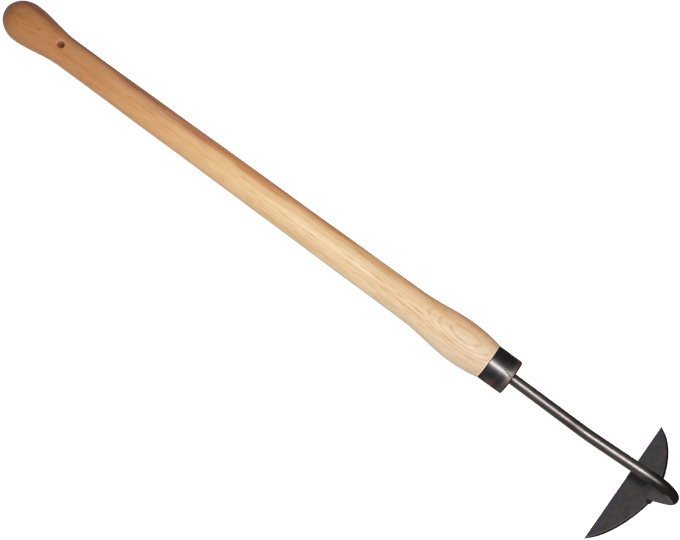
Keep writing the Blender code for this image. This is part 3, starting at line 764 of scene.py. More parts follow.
# The next three numbers place painted shade on both lips and set how dark it gets.
BACK_LIP_SHADE = (0.0007, 0.0012)   # where the dark line at the wood fades out
FRONT_LIP_SHADE = (0.0239, 0.0247)  # and where the one at the front corner fades in
LIP_SHADE_DARKNESS = 0.92
PATINA = (0.0205, 0.0285)     # where the front rim turns brown


def distance_to_line(place, start, end):
    """Distance from a place to a straight line between two points of the tool's frame.

    The offset's share along the line, kept from 0 to 1, gives the nearest point of the line.
    """
    run = end - start
    offset = vector("SUBTRACT", place, start)
    share = vector("DOT_PRODUCT", offset, run / (run @ run))
    share = reckon("MAXIMUM", reckon("MINIMUM", share, 1.0), 0.0)
    foot = add(place.tree, "VectorMath", {0: run, "Scale": share}, operation="SCALE")
    return vector("DISTANCE", offset, foot)


def ferrule_finish():
    """Blackened, polished steel with painted shade on each lip edge, a brown front rim, rust and
    one scratch.
    """
    material, place = new_finish("blackened_steel")
    along, across, _ = coordinates(place)
    clouds = noise(place, (130.0, 130.0, 130.0), 4.0, 0.6)
    turning = noise(place, (2600.0, 25.0, 25.0), 3.0, 0.6)
    rim = between(clouds * 0.009 + along, *PATINA)
    # Painted shade on both lips: a dark line by the wood and on the front corner.
    lip_shade = reckon("MAXIMUM", between(along, *BACK_LIP_SHADE, 1.0, 0.0),
                  between(along, *FRONT_LIP_SHADE, 0.0, LIP_SHADE_DARKNESS))
    rust = between(clouds * -0.012 + across, -0.0165, -0.0225, 0.0, 0.8)
    rust = rust * between(abs(along - RUST_PLACE), 0.002, 0.006, 1.0, 0.0)
    scratch = distance_to_line(place, SCRATCH_START, SCRATCH_END)
    groove = between(scratch, SCRATCH_WIDTH, 2.2 * SCRATCH_WIDTH, 1.0, 0.0)

    colour = mix(between(clouds, 0.35, 0.7), (0.098, 0.094, 0.098), (0.125, 0.112, 0.108))
    colour = mix(rim, colour, (0.225, 0.185, 0.168))
    colour = mix(rust, colour, (0.270, 0.160, 0.132))
    colour = mix(lip_shade, colour, (0.045, 0.028, 0.024))
    colour = mix(groove * 0.8, colour, (0.02, 0.017, 0.016))
    rough = between(clouds, 0.3, 0.75, 0.32, 0.37)
    return finished(material, {
        "Base Color": colour, "Metallic": 1.0,
        "Roughness": turning * 0.04 + (rim * 0.26 + rough),
        "Normal": bump(1.0 - groove, 0.00010, bump(turning, 0.000004)),
        "Specular Tint": (0.35, 0.33, 0.32)})


blackened = ferrule_finish()

# %% [markdown]
# ## The ferrule
# A drawn cup: a straight wall over the tenon, a rounded front corner, a flat front face and
# a hole for the neck. A tube and a lid could be joined, but would leave a seam. Here the
# section is one closed outline, carried once round the axis, so no end needs closing.

# %% Turn the ferrule's section
FERRULE_RADIUS = 0.0170
FERRULE_WALL = 0.0015
FERRULE_FRONT = 0.0020
FERRULE_CORNER = 0.0014
FERRULE_LIP = 0.0004
FERRULE_GAP = 0.0003
FERRULE_SIDES = 160
WALL_RINGS = 22
FACE_RINGS = 8


def arc(centre, radius, start, end, count):
    """Points of an arc, from one angle in degrees to another."""
    turn = np.radians(np.linspace(start, end, count))
    return np.stack([centre[0] + radius * np.cos(turn), centre[1] + radius * np.sin(turn)],
                    axis=1)


def ferrule_section():
    """Closed outline (distance along, radius), from the back rim over the outside to the bore."""
    outer, inner = FERRULE_RADIUS, FERRULE_RADIUS - FERRULE_WALL
    hole = NECK_RADIUS + FERRULE_GAP
    back, front = FERRULE_GAP, FERRULE_LENGTH
    lip, corner = FERRULE_LIP, FERRULE_CORNER
    wall = np.linspace(back + lip, front - corner, WALL_RINGS + 2)[1:-1]
    face = np.linspace(outer - corner, hole + lip, FACE_RINGS + 2)[1:-1]
    return np.concatenate([
        arc((back + lip, inner + lip), lip, 270.0, 180.0, 5),
        arc((back + lip, outer - lip), lip, 180.0, 90.0, 6),
        np.stack([wall, np.full(len(wall), outer)], axis=1),
        arc((front - corner, outer - corner), corner, 90.0, 0.0, 12),
        np.stack([np.full(len(face), front), face], axis=1),
        arc((front - lip, hole + lip), lip, 0.0, -90.0, 6),
        [(front - FERRULE_FRONT, hole), (front - FERRULE_FRONT, inner)]])


section = ferrule_section()
rings = around(section[:, :1], section[:, 1:], full_turn(FERRULE_SIDES))
loops = numbered(rings)
make_piece("drawn_ferrule", rings.reshape(-1, 3), [loop_faces(np.vstack([loops, loops[0]]))],
           blackened, "ferrule")

# %% [markdown]
# ## The neck's steel
# Round bar, heated and bent, then brushed and lacquered. Lengthwise brushing leaves long
# faint lines, and heat leaves bronze and grey clouds. Round the bend a darker brown band with
# less lacquer is painted shade, which dims the streak there. Towards the hook the scale was
# left on, so the steel is nearly black there. The palm was rubbed grey again, apart from its
# tip, which is as dark as the plate. A thin painted highlight runs along the hook's heel. All
# this follows the bar round its bends, so it reads the length along the bar, which each point
# carries, and not the place in space.

# %% The neck's finish
BEND_SHADE_PLACE = 0.1630           # length from the tang's tip to the bend, where painted shade dims the streak
SCALE_PLACE = (0.2410, 0.2570)     # black scale comes in at the hook's start
PALM_PLACE = (0.2810, 0.2880)      # and goes on the rubbed palm
TIP_PLACE = (0.3165, 0.3255)       # which darkens again towards its tip
HEEL_HIGHLIGHT_PLACE = 0.2730           # the middle of a thin painted highlight along the hook's heel
HEEL_HIGHLIGHT_ACROSS = -0.0051


def neck_finish():
    """Bronze-grey bar, black scale at the hook, a grey palm, painted bend shade and heel
    highlight.
    """
    material, place = new_finish("forged_bar_steel")
    _, across, _ = coordinates(place)
    length = reading(place, "length")
    clouds = noise(place, (60.0, 140.0, 140.0), 4.0, 0.6)
    lines = noise(place, (30.0, 1500.0, 1500.0), 3.0, 0.6)
    marks = noise(place, (260.0, 420.0, 420.0), 3.0, 0.7)
    # Painted shade: a darker brown band round the bend, with less lacquer, dims the streak.
    bend_shade = between(clouds * 0.010 + abs(length - BEND_SHADE_PLACE), 0.005, 0.014, 0.65, 0.0)
    scale = between(clouds * 0.012 + length, *SCALE_PLACE)
    palm = between(clouds * 0.006 + length, *PALM_PLACE)
    tip = between(clouds * 0.006 + length, *TIP_PLACE)
    # A thin painted highlight along the inside of the hook's heel.
    heel = between(abs(length - HEEL_HIGHLIGHT_PLACE), 0.011, 0.005)
    heel_highlight = heel * between(abs(across - HEEL_HIGHLIGHT_ACROSS), 0.0008, 0.0003)

    colour = mix(between(clouds, 0.3, 0.7), (0.182, 0.160, 0.160), (0.222, 0.194, 0.187))
    for share, shade in ((between(lines, 0.35, 0.75, 0.0, 0.35), (0.100, 0.088, 0.080)),
                         (bend_shade, (0.115, 0.092, 0.078)), (scale, (0.068, 0.060, 0.061)),
                         (palm, (0.240, 0.222, 0.212)), (tip, (0.168, 0.154, 0.152)),
                         (heel_highlight, (0.330, 0.300, 0.285))):
        colour = mix(share, colour, shade)
    rough = palm * 0.13 + between(clouds, 0.25, 0.75, 0.39, 0.45)
    lacquer = between(scale, 0.0, 0.6, 0.13, 0.0) * between(bend_shade, 0.0, 0.6, 1.0, 0.3)
    return finished(material, {
        "Base Color": colour, "Metallic": 1.0,
        "Roughness": between(marks, 0.62, 0.72) * 0.12 + rough,
        "Normal": bump(lines, 0.00001, bump(marks, 0.00003)),
        "Specular Tint": (0.40, 0.37, 0.35), "Coat Weight": lacquer, "Coat Roughness": 0.24})


bar_steel = neck_finish()

# %% [markdown]
# ## The neck's line
# A smith bends the bar over the anvil's horn, so its centre line is straight runs joined by
# arcs. The corners of that line follow from the blade: the palm must lie flat on it. Once
# the corners are known, the heading along the line is a plain graph, level on the runs and
# sloping on the arcs, and adding up its steps gives the line itself. A curve drawn by eye
# could look as good, but wouldn't end flat on the blade.

# %% Corners and heading of the neck
NECK_STRAIGHT = 0.0840
NECK_SET = math.radians(2.0)
NECK_RISE = math.radians(11.0)
HOOK_RADIUS = 0.0056          # of the bar at the hook
HOOK_TOP_RADIUS = 0.0228
HOOK_TOP_TURN = math.radians(90.0)
HOOK_HEEL_RADIUS = 0.0100
BEND_RADII = np.array([0.0800, 0.0600, HOOK_TOP_RADIUS, HOOK_HEEL_RADIUS, 0.0350])
PALM_THICKNESS = 0.0032
PALM_TIP_THICKNESS = 0.0012
PALM_LAP = 0.0180             # how far it runs down the blade
BLADE_HEIGHT = 0.0502
BLADE_ANGLE = math.radians(60.0)
BLADE_REACH = 0.1423
BLADE_DROP = 0.0784
SEAT_GAP = 0.0003             # between palm and blade

blade_edge = np.array([FERRULE_LENGTH + BLADE_REACH, -BLADE_DROP])
blade_up = np.array([math.cos(BLADE_ANGLE), math.sin(BLADE_ANGLE)])
blade_out = np.array([-math.sin(BLADE_ANGLE), math.cos(BLADE_ANGLE)])


def neck_corners():
    """Corners of the centre line, from the tang's tip to the palm's tip.

    The hook's two corners lie so far apart that its arcs meet with one heading. Where the
    rising run must end follows from two lines that cross.
    """
    face = np.array([FERRULE_LENGTH, 0.0])
    second = np.array([math.cos(NECK_RISE), math.sin(NECK_RISE)])
    bend = face + NECK_STRAIGHT * np.array([math.cos(NECK_SET), -math.sin(NECK_SET)])
    back = blade_edge + BLADE_HEIGHT * blade_up + (SEAT_GAP + PALM_THICKNESS / 2.0) * blade_out
    end = (blade_edge + (BLADE_HEIGHT - PALM_LAP) * blade_up
           + (SEAT_GAP + PALM_TIP_THICKNESS / 2.0) * blade_out)
    heel_turn = NECK_RISE + math.pi - BLADE_ANGLE - HOOK_TOP_TURN
    between_corners = (HOOK_TOP_RADIUS * math.tan(HOOK_TOP_TURN / 2.0)
                       + HOOK_HEEL_RADIUS * math.tan(heel_turn / 2.0))
    heading = NECK_RISE - HOOK_TOP_TURN
    down = between_corners * np.array([math.cos(heading), math.sin(heading)])
    reach, _ = np.linalg.solve(np.stack([second, -blade_up], axis=1), back - bend - down)
    top_corner = bend + reach * second
    return np.stack([face - (TANG_LENGTH, 0.0), face, bend, top_corner, top_corner + down, back,
                     end])


def neck_knots(corners):
    """Lengths at which the arcs start and end, and the heading there.

    Each arc takes radius times the tangent of half its turn off the runs beside it.
    """
    runs = np.diff(corners, axis=0)
    lengths = np.linalg.norm(runs, axis=1)
    headings = np.unwrap(np.arctan2(runs[:, 1], runs[:, 0]))
    turns = np.abs(np.diff(headings))
    setback = np.concatenate([[0.0], BEND_RADII * np.tan(turns / 2.0), [0.0]])
    steps = np.zeros(2 * len(lengths) - 1)
    steps[0::2] = lengths - setback[:-1] - setback[1:]
    steps[1::2] = BEND_RADII * turns
    return np.concatenate([[0.0], np.cumsum(steps)]), np.repeat(headings, 2)


corners = neck_corners()
knots, headings = neck_knots(corners)
neck_length = knots[-1]
print(f"neck {neck_length * 1e3:.1f} mm from the tang's tip to the palm's")

# %% [markdown]
# ### From square tang to flat palm
# Every section is a superellipse: round where its power is 2, and close to a square at 5.
# The tang starts small and square, the neck is round, and past the hook the hammer spreads
# the bar wider and thinner until it lies on the blade as a tongue. One formula for all
# sections keeps the rings equal, so tang, bar, hook and palm are one grid with no joint.

# %% Sections of the neck
PALM_WIDTH = 0.0156
PALM_SPREAD = 0.0340          # lengths over which the bar is spread and thinned
PALM_THINNING = 0.0285
PALM_ROUND = 0.0100           # length of the rounded tongue
PALM_CROWN = 2.6              # power of the palm's open half
PALM_FLATNESS = 4.5           # and of the half that lies on the plate
ROUND_FROM = TANG_LENGTH - FERRULE_FRONT - FERRULE_GAP
SQUARE_TO = ROUND_FROM - TANG_CHANGE


def neck_sections(s):
    """Half width, half height and the two powers at each length s along the neck."""
    hook, back = knots[5], neck_length - PALM_LAP
    bar = NECK_RADIUS + (HOOK_RADIUS - NECK_RADIUS) * np.clip(
        (s - TANG_LENGTH) / (hook - TANG_LENGTH), 0.0, 1.0)
    flat = TANG_TIP + (TANG_ROOT - TANG_TIP) * np.clip(s / SQUARE_TO, 0.0, 1.0)
    round_off = ease((s - SQUARE_TO) / (ROUND_FROM - SQUARE_TO))
    tang = flat + (bar - flat) * round_off
    spread = ease((s - back) / PALM_SPREAD + 1.0)
    thinned = ease((s - back) / PALM_THINNING + 1.0)
    depth = s - back
    rounding = np.clip((depth - (PALM_LAP - PALM_ROUND)) / PALM_ROUND, 0.0, 1.0)
    tongue = PALM_WIDTH / 2.0 * np.sqrt(1.0 - rounding ** 2)
    thin = (PALM_THICKNESS + (PALM_TIP_THICKNESS - PALM_THICKNESS) * depth / PALM_LAP) / 2.0
    zones = [s < ROUND_FROM, s > back]
    width = np.select(zones, [tang, tongue], bar + (PALM_WIDTH / 2.0 - bar) * spread)
    height = np.select(zones, [tang, thin], bar + (PALM_THICKNESS / 2.0 - bar) * thinned)
    square = TANG_SQUARENESS + (2.0 - TANG_SQUARENESS) * round_off
    outer = np.where(zones[0], square, 2.0 + (PALM_FLATNESS - 2.0) * thinned)
    inner = np.where(zones[0], square, 2.0 + (PALM_CROWN - 2.0) * thinned)
    return width, height, outer, inner


# %% Forge the neck
NECK_SIDES = 64
NECK_STEP = 0.0007            # from one ring to the next
LINE_STEPS = 20000            # of the sum that gives the centre line
TONGUE_RINGS = 24
TONGUE_TURN = math.radians(89.0)   # of the tongue's rounding that the rings cover


def neck_surface():
    """Grid of the neck: the heading is added up to the centre line, then sections stand on it."""
    tongue = neck_length - PALM_ROUND * (1.0 - np.sin(np.linspace(0.0, TONGUE_TURN, TONGUE_RINGS)))
    s = np.concatenate([np.arange(0.0, tongue[0], NECK_STEP), tongue])
    fine = np.linspace(0.0, neck_length, LINE_STEPS + 1)
    heading = np.interp(fine, knots, headings)
    moves = fine[1] * np.stack([np.cos(heading), np.sin(heading)], axis=1)
    line = corners[0] + np.concatenate(
        [[[0.0, 0.0]], np.cumsum((moves[1:] + moves[:-1]) / 2.0, axis=0)])
    turn = np.interp(s, fine, heading)[:, None]
    width, height, outer, inner = (value[:, None] for value in neck_sections(s))
    angle = full_turn(NECK_SIDES)
    cosine, sine = superellipse(angle, np.where(np.sin(angle) >= 0.0, outer, inner))
    return stacked(np.interp(s, fine, line[:, 0])[:, None] - np.sin(turn) * height * sine,
                   width * cosine,
                   np.interp(s, fine, line[:, 1])[:, None] + np.cos(turn) * height * sine), s


surface, lengths = neck_surface()
make_strip("forged_swan_neck", surface, bar_steel, "swan_neck",
           {"length": np.repeat(lengths[:, None], NECK_SIDES, axis=1)})

# %% [markdown]
# ## The blade's steel
# Rolled plate, ground on its outer face, hardened and oiled. Tempering leaves a blue-violet
# breath near the cutting edge, and the rest is a dark satin grey with brown clouds. A band of
# painted shadow lies beside the neck, where the neck's shadow falls on the inner face. Along
# the curved back a painted highlight runs as a narrow border on one half, and the edge itself
# carries painted shade, nearly black. The borders follow the curve because each point of the
# plate carries its distance in from the back.

# %% The blade's finish
NECK_SHADOW_PLACE = 0.0112           # the middle of the painted shadow band across the blade, at the edge
NECK_SHADOW_SLOPE = 0.16             # and how much nearer the middle it lies for each step up
ARRIS_HIGHLIGHT_BORDER = (0.0021, 0.0016)   # distance in from the back where the painted highlight starts
EDGE_SHADE_WIDTH = (0.00060, 0.0011)     # of the painted dark border, on one half and on the other


def in_profile(point):
    """A point or direction of the tool's middle plane, as three numbers."""
    return point[0], 0.0, point[1]


def blade_finish():
    """Dark satin plate: blue-violet edge, brown clouds, painted neck shadow, back highlight and
    shade.
    """
    material, place = new_finish("blade_plate_steel")
    _, across, _ = coordinates(place)
    offset = vector("SUBTRACT", place, in_profile(blade_edge))
    height = vector("DOT_PRODUCT", offset, in_profile(blade_up))
    off_face = vector("DOT_PRODUCT", offset, in_profile(blade_out))
    inset = reading(place, "inset")
    clouds = noise(place, (70.0, 70.0, 70.0), 4.0, 0.6)
    patches = noise(place, (160.0, 160.0, 160.0), 3.0, 0.6)
    grind = noise(place, (500.0, 40.0, 500.0), 3.0, 0.6)

    blue = between(clouds * 0.020 + height, 0.030, 0.010, 0.0, 0.8)
    # Painted shadow: a dark band beside the neck on the inner face, fading up the blade.
    band = height * NECK_SHADOW_SLOPE + across - NECK_SHADOW_PLACE
    neck_shadow_paint = between(band, -0.0085, -0.0025) * between(band, 0.006, 0.002)
    neck_shadow_paint = neck_shadow_paint * between(height, 0.044, 0.036, 0.0, 0.85)
    neck_shadow_paint = neck_shadow_paint * between(off_face, -0.00065, -0.00045)
    # Painted highlight: a light border on one half of the back, where its edge catches the lamp.
    arris_highlight = between(inset, *ARRIS_HIGHLIGHT_BORDER) * between(across, 0.0, -0.012)
    # Painted shade: a nearly black border along the back's edge, wider on one half.
    edge_shade = between(inset / between(across, -0.012, 0.0, *EDGE_SHADE_WIDTH), 0.75, 1.25, 1.0, 0.0)

    colour = mix(between(patches, 0.35, 0.7), (0.152, 0.140, 0.142), (0.212, 0.186, 0.178))
    colour = mix(blue, colour, (0.160, 0.148, 0.185))
    colour = mix(between(clouds, 0.55, 0.72, 0.0, 0.6), colour, (0.185, 0.150, 0.130))
    colour = mix(neck_shadow_paint, colour, (0.42, 0.41, 0.41), "MULTIPLY")
    colour = mix(arris_highlight, colour, (0.350, 0.322, 0.312))
    colour = mix(edge_shade, colour, (0.028, 0.026, 0.026))
    return finished(material, {
        "Base Color": colour, "Metallic": 0.9,
        "Roughness": between(patches, 0.3, 0.7, 0.46, 0.58),
        "Normal": bump(clouds, 0.00025, bump(grind, 0.000012)),
        "Specular Tint": (0.40, 0.39, 0.40)})


plate_steel = blade_finish()

# %% [markdown]
# ## The half-moon blade
# At each place across the blade a section runs from the cutting edge to the curved back:
# a narrow honed bevel on the face towards the handle, the flat plate, the eased back edge,
# and the wide ground bevel on the outer face. The section's height follows the two side
# arcs, which meet under a small rounding. Near the points everything shrinks with it. An
# outline could be extruded and bevelled, but its faces would run thin at the points.

# %% The curved back
BLADE_CHORD = 0.1263
BLADE_BULGE = 0.0097          # of each side's arc over its chord
ARCH_ROUND = 0.0120           # half the length of the rounding in the middle


def arch_height(y):
    """Height of the curved back over the cutting edge at a place y across the blade.

    Each side is one circle's arc, from a point of the blade to the middle. A parabola of
    equal slope rounds the place where the two arcs meet.
    """
    half = BLADE_CHORD / 2.0
    chord = math.hypot(half, BLADE_HEIGHT)
    radius = (chord * chord / 4.0 + BLADE_BULGE ** 2) / (2.0 * BLADE_BULGE)
    centre_y = half / 2.0 - BLADE_HEIGHT / chord * (radius - BLADE_BULGE)
    centre_x = BLADE_HEIGHT / 2.0 - half / chord * (radius - BLADE_BULGE)
    reach = np.maximum(np.abs(y), ARCH_ROUND)
    height = centre_x + np.sqrt(radius ** 2 - (reach - centre_y) ** 2)
    slope = (ARCH_ROUND - centre_y) / math.sqrt(radius ** 2 - (ARCH_ROUND - centre_y) ** 2)
    near = np.minimum(np.abs(y), ARCH_ROUND)
    return height + slope * (ARCH_ROUND ** 2 - near ** 2) / (2.0 * ARCH_ROUND)


print(f"blade {1e3 * arch_height(0.0):.1f} mm high in the middle")

# %% Sections of the blade
BLADE_THICKNESS = 0.0020
BLADE_STATIONS = 301
TIP_BLUNT = 0.0006
EDGE_LAND = 0.0003            # thickness of the cutting edge
EDGE_EASE = 0.00005
HONE_WIDTH = 0.0030
HONE_DEPTH = 0.0004
HONE_PLACES = np.array([0.0004, 0.0012, 0.0022, 0.0029, 0.0031, 0.0042])
GRIND_WIDTH = 0.0130
GRIND_PLACES = np.array([0.0004, 0.0030, 0.0070, 0.0110, 0.0129, 0.0131, 0.0150])
PLATE_STEPS = 19
BACK_EASE = 0.00040
BACK_EASE_SHARE = 0.3         # of the section's height, at the most


def face_places(bevel, height, top):
    """Places up one face: its bevel's, kept in order below the height, then even steps."""
    share = np.arange(1, len(bevel) + 1) / (len(bevel) + 1.0)
    low = np.minimum(bevel, height[:, None] * share)
    plate = np.linspace(0.0, 1.0, PLATE_STEPS + 1)[1:]
    return np.concatenate([low, low[:, -1:] + (top[:, None] - low[:, -1:]) * plate], axis=1)


def blade_sections():
    """Closed sections (height up the blade, place across, height off its face), one each place.

    With them come the distances in from the curved back, square to it, for the finish.
    """
    y = BLADE_CHORD / 2.0 * np.sin(np.linspace(-math.pi / 2.0, math.pi / 2.0, BLADE_STATIONS))
    height = np.maximum(arch_height(y), TIP_BLUNT)
    lean = np.sqrt(1.0 + np.gradient(height, y) ** 2)
    ease_x = np.minimum(BACK_EASE * lean, BACK_EASE_SHARE * height)
    inner = face_places(HONE_PLACES, height, height - ease_x)
    outer = face_places(GRIND_PLACES, height, height - ease_x)
    inner_z = -HONE_DEPTH * np.clip(1.0 - inner / HONE_WIDTH, 0.0, 1.0)
    rise = BLADE_THICKNESS - HONE_DEPTH - EDGE_LAND
    outer_z = -BLADE_THICKNESS + rise * np.clip(1.0 - outer / GRIND_WIDTH, 0.0, 1.0)
    turn = np.linspace(0.0, math.pi / 2.0, EASE_RINGS + 1)[1:]
    round_x = (height - ease_x)[:, None] + ease_x[:, None] * np.sin(turn)
    top_z = inner_z[:, -1:] - BACK_EASE * (1.0 - np.cos(turn))
    low_z = outer_z[:, -1:] + BACK_EASE * (1.0 - np.cos(turn))
    edge_z = np.tile([EDGE_EASE - HONE_DEPTH - EDGE_LAND, -HONE_DEPTH - EDGE_EASE], (len(y), 1))
    x = np.concatenate([0.0 * edge_z, inner, round_x, round_x[:, ::-1], outer[:, ::-1]], axis=1)
    z = np.concatenate([edge_z, inner_z, top_z, low_z[:, ::-1], outer_z[:, ::-1]], axis=1)
    return stacked(x, y[:, None], z), (height[:, None] - x) / lean[:, None]


def on_blade(points):
    """Move points from the blade's frame (up it, across, off its face) to the tool's."""
    in_plane = blade_edge + points[..., :1] * blade_up + points[..., 2:] * blade_out
    return stacked(in_plane[..., 0], points[..., 1], in_plane[..., 1])


sections, inset = blade_sections()
make_strip("half_moon_blade", on_blade(sections), plate_steel, "blade",
           {"inset": inset})

# %% [markdown]
# ## The welds
# A weld is metal that was liquid for a moment. It wets both sides, so in front it is a
# hollow cove from the palm down to the plate, ground smooth afterwards. Where the welder
# started and stopped, by the blade's back, a small lump stands over the edge. Behind, a
# fuller bead fills the corner under the palm, with the faint ripples of the torch. Melting
# the pieces into one mesh would lose their edges, so each weld is a strip along its corner.

# %% The weld's finish
DARK_DEPTH = (0.0070, 0.0045)     # below the blade's back, where the darker metal begins


def weld_finish():
    """Smoothed weld metal, dark satin like the plate, brown from welding.

    It is nearly black near the blade's back, so at the front weld's stops and all behind.
    """
    material, place = new_finish("weld_metal")
    clouds = noise(place, (180.0, 180.0, 180.0), 4.0, 0.6)
    colour = mix(between(clouds, 0.35, 0.7), (0.170, 0.158, 0.155), (0.198, 0.176, 0.162))
    darkened = between(reading(place, "depth"), *DARK_DEPTH)
    return finished(material, {
        "Base Color": mix(darkened, colour, (0.060, 0.056, 0.055)), "Metallic": 0.9,
        "Roughness": between(clouds, 0.3, 0.7, 0.45, 0.58), "Normal": bump(clouds, 0.0003),
        "Specular Tint": (0.40, 0.39, 0.38)})


weld_steel = weld_finish()

# %% The weld in front: its route
WELD_REACH = 0.0026           # how far the cove runs out over the plate
WELD_STOP_REACH = 0.0035
WELD_STOP_LENGTH = 0.0070
WELD_OVERHANG = 0.0014
WELD_STOP_RUN = 0.0034        # how far the weld runs on past the blade's back where it stops
ROUTE_POINTS = 40             # down each side, and round half the tongue
STOP_POINTS = 13


def weld_route():
    """The palm's outline on the plate, its outward directions, and the way to the nearer end.

    It runs down one side, round the tongue's half ellipse and back up the other side, where
    it goes on past the blade's back.
    """
    half = PALM_WIDTH / 2.0
    straight = PALM_LAP - PALM_ROUND
    top_depth = BLADE_HEIGHT - float(arch_height(half + WELD_STOP_REACH / 2.0)) - WELD_OVERHANG
    side_depth = np.linspace(top_depth, straight, ROUTE_POINTS)
    turn = np.linspace(0.0, math.pi / 2.0, ROUTE_POINTS)[1:]
    run_on = np.linspace(0.0, WELD_STOP_RUN, STOP_POINTS + 1)[1:]
    depth = np.concatenate([side_depth, straight + PALM_ROUND * np.sin(turn)])
    width = np.concatenate([np.full(len(side_depth), half), half * np.cos(turn)])
    route = np.stack([
        BLADE_HEIGHT - np.concatenate([depth, depth[-2::-1], top_depth - run_on]),
        np.concatenate([width, -width[-2::-1], np.full(len(run_on), -half)])], axis=1)
    run = np.gradient(route, axis=0)
    run /= np.linalg.norm(run, axis=1)[:, None]
    steps = np.linalg.norm(np.diff(route, axis=0), axis=1)
    along = np.concatenate([[0.0], np.cumsum(steps)])
    return route, np.stack([run[:, 1], -run[:, 0]], axis=1), np.minimum(along, along[-1] - along)


# %% The weld in front: its sections
WELD_ROOT = 0.0006            # how deep it bites under the palm's flank
WELD_SINK = 0.0002            # and into the plate
WELD_CREST = 0.62             # its height at the palm, as a share of the palm's
WELD_HOLLOW = 1.7             # power by which it falls away from the palm
WELD_FULLNESS = 0.9           # how much less the power is at a stop
WELD_END = 0.0018             # length over which each end closes
WELD_LEAST = 0.03             # share of its size that is left at the very end
COVE_POINTS = 15
UNDER_POINTS = 4


def front_weld():
    """Grid of the cove: from under the palm's flank, hollow down to the plate, and back beneath.

    Its height falls with a power of the way out. Near its ends it swells into a lump and
    closes with a quarter circle.
    """
    route, outward, to_end = weld_route()
    depth = BLADE_HEIGHT - route[:, 0]
    palm = PALM_THICKNESS + (PALM_TIP_THICKNESS - PALM_THICKNESS) * np.clip(
        depth / PALM_LAP, 0.0, 1.0)
    swelling = 1.0 - ease(to_end / WELD_STOP_LENGTH)
    closing = np.sqrt(np.clip(1.0 - (1.0 - to_end / WELD_END).clip(0.0) ** 2,
                              WELD_LEAST ** 2, 1.0))
    reach = (WELD_REACH + (WELD_STOP_REACH - WELD_REACH) * swelling) * closing
    crest = (SEAT_GAP + WELD_CREST * palm) * closing
    share = np.linspace(0.0, 1.0, COVE_POINTS)
    hollow = (1.0 - share) ** (WELD_HOLLOW - WELD_FULLNESS * swelling[:, None])
    way_back = np.linspace(1.0, 0.0, UNDER_POINTS + 2)[1:]
    out = (reach + WELD_ROOT)[:, None] * np.concatenate([share, way_back]) - WELD_ROOT
    sunk = np.full((len(reach), len(way_back)), -WELD_SINK)
    high = np.concatenate([crest[:, None] * hollow, sunk], axis=1)
    x = route[:, :1] + outward[:, :1] * out
    y = route[:, 1:] + outward[:, 1:] * out
    return np.stack([x, y, high], axis=-1), np.broadcast_to(depth[:, None], x.shape)


strip, depth = front_weld()
make_strip("front_weld", on_blade(strip), weld_steel, "weld", {"depth": depth})

# %% The weld behind
BACK_WELD_LEG = 0.0034
BACK_WELD_DEPTH = 0.0019
BACK_WELD_PAST = 0.0034       # how far it runs on past the palm's flanks
BACK_WELD_BITE = 0.0003       # into the plate
BACK_WELD_FULLNESS = 2.2      # the power of its bulging section
BACK_WELD_RIPPLE = 0.00024
BACK_WELD_PITCH = 0.0011      # from one ripple to the next
BACK_WELD_TURN = math.radians(86.0)     # of the half circle that its size follows
BACK_WELD_RINGS = 161


def back_weld_surface():
    """Grid of the bead in the corner: a bulging quarter section that dwindles at both ends."""
    swing = np.linspace(-BACK_WELD_TURN, BACK_WELD_TURN, BACK_WELD_RINGS)[:, None]
    y = (PALM_WIDTH / 2.0 + BACK_WELD_PAST) * np.sin(swing)
    size = np.cos(swing)
    ripple = 1.0 + BACK_WELD_RIPPLE / BACK_WELD_LEG * np.sin(2.0 * math.pi * y / BACK_WELD_PITCH)
    bulge_out, bulge_down = superellipse(np.linspace(0.0, math.pi / 2.0, 16), BACK_WELD_FULLNESS)
    leg = BACK_WELD_LEG * size * ripple * bulge_out
    palm_half = neck_sections(neck_length - PALM_LAP - leg)[1]
    high = SEAT_GAP + PALM_THICKNESS / 2.0 - palm_half - BACK_WELD_DEPTH * size * bulge_down
    wall = arch_height(y)
    x = np.concatenate([wall + leg, wall - BACK_WELD_BITE, wall - BACK_WELD_BITE], axis=1)
    return stacked(x, y, np.concatenate([high, high[:, -1:], high[:, :1]], axis=1))


bead = back_weld_surface()
make_strip("back_weld_bead", on_blade(bead), weld_steel, "back_weld",
           {"depth": np.zeros(bead.shape[:2])})

# %% [markdown]
# ## The studio
# The hoe lies over a sheet of white acrylic that glows like a light table, so its shadow
# stays faint. One long lamp hangs over the handle and draws the streak on ferrule and neck.
# Two wide soft fills stand beside it, the stronger one where the room is paler, which gives
# the round pieces their form. They are hidden from mirror rays, so they brighten the wood and
# leave the steel dark. The sheet is hidden from the tool: what the tool would see of it is
# set by the low half of the room, softer than the sheet itself would be.

# %% The sheet
FLOOR_SIZE = 8.0
FLOOR_DROP = 0.0001           # below the hoe
FLOOR_GLOW = 0.80


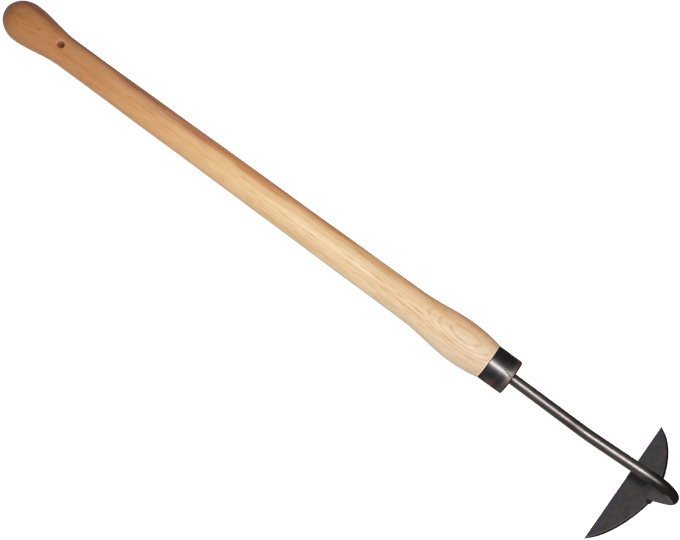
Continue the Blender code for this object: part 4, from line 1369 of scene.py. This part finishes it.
def make_floor():
    """A wide square just under the hoe, in matt off-white with the faintest mottling."""
    half = FLOOR_SIZE / 2.0
    mesh = bpy.data.meshes.new("floor")
    mesh.from_pydata([(x, y, -FLOOR_DROP) for x, y in (
        (-half, -half), (half, -half), (half, half), (-half, half))], [], [(0, 1, 2, 3)])
    material, place = new_finish("white_acrylic")
    mottle = noise(place, (3.0, 3.0, 3.0), 2.0)
    mesh.materials.append(finished(material, {
        "Base Color": mix(mottle, (0.83, 0.83, 0.83), (0.86, 0.86, 0.86)),
        "Roughness": 0.9, "Specular IOR Level": 0.1,
        "Emission Color": (1.0, 1.0, 1.0), "Emission Strength": FLOOR_GLOW}))
    floor = bpy.data.objects.new("floor", mesh)
    bpy.context.scene.collection.objects.link(floor)
    floor.visible_diffuse = floor.visible_glossy = floor.visible_shadow = False


make_floor()

# %% Lamps
LAMPS = (
    # name, turn from the camera's direction, distance, place along the handle, sizes, power
    ("long_lamp", 4.0, 1.15, -0.05, (0.80, 0.08), 13.8),
    ("soft_fill", -80.0, 1.3, -0.15, (2.0, 1.2), 12.6),
    ("side_fill", 65.0, 1.3, -0.15, (2.0, 1.2), 5.8))


def make_lamp(name, degrees, distance, along, sizes, power):
    """A rectangular lamp that shines at the handle, its long side along it."""
    turn = math.radians(degrees)
    back = math.cos(turn) * view_back + math.sin(turn) * view_across
    data = bpy.data.lights.new(name, "AREA")
    data.shape = "RECTANGLE"
    data.size, data.size_y = sizes
    data.energy = power
    lamp = bpy.data.objects.new(name, data)
    bpy.context.scene.collection.objects.link(lamp)
    lamp.matrix_world = studio_matrix(along * view_along + distance * back, view_along,
                                      np.cross(back, view_along), back)
    lamp.visible_camera = False
    lamp.visible_glossy = name == "long_lamp"


for lamp in LAMPS:
    make_lamp(*lamp)
print("lamps", [light.name for light in bpy.data.lights])

# %% The room
ROOM_COLOUR = (0.98, 0.98, 1.0)
ROOM_PALE = 0.21
ROOM_DARK = 0.12
ROOM_LOW = 0.28               # what the low half adds, in the sheet's stead

world = bpy.data.worlds.new("room")
world.use_nodes = True
bpy.context.scene.world = world
_, toward_side, toward_sky = coordinates(add(world.node_tree, "TexCoord", {}, "Generated"))
sides = between(toward_side, -0.6, 0.4, ROOM_PALE, ROOM_DARK)
low = between(toward_sky, -0.10, -0.75, 0.0, ROOM_LOW)
feed(world.node_tree.nodes["Background"], {"Color": ROOM_COLOUR, "Strength": sides + low})
bpy.context.scene.view_settings.view_transform = "Standard"
print("room", len(world.node_tree.nodes), "nodes")
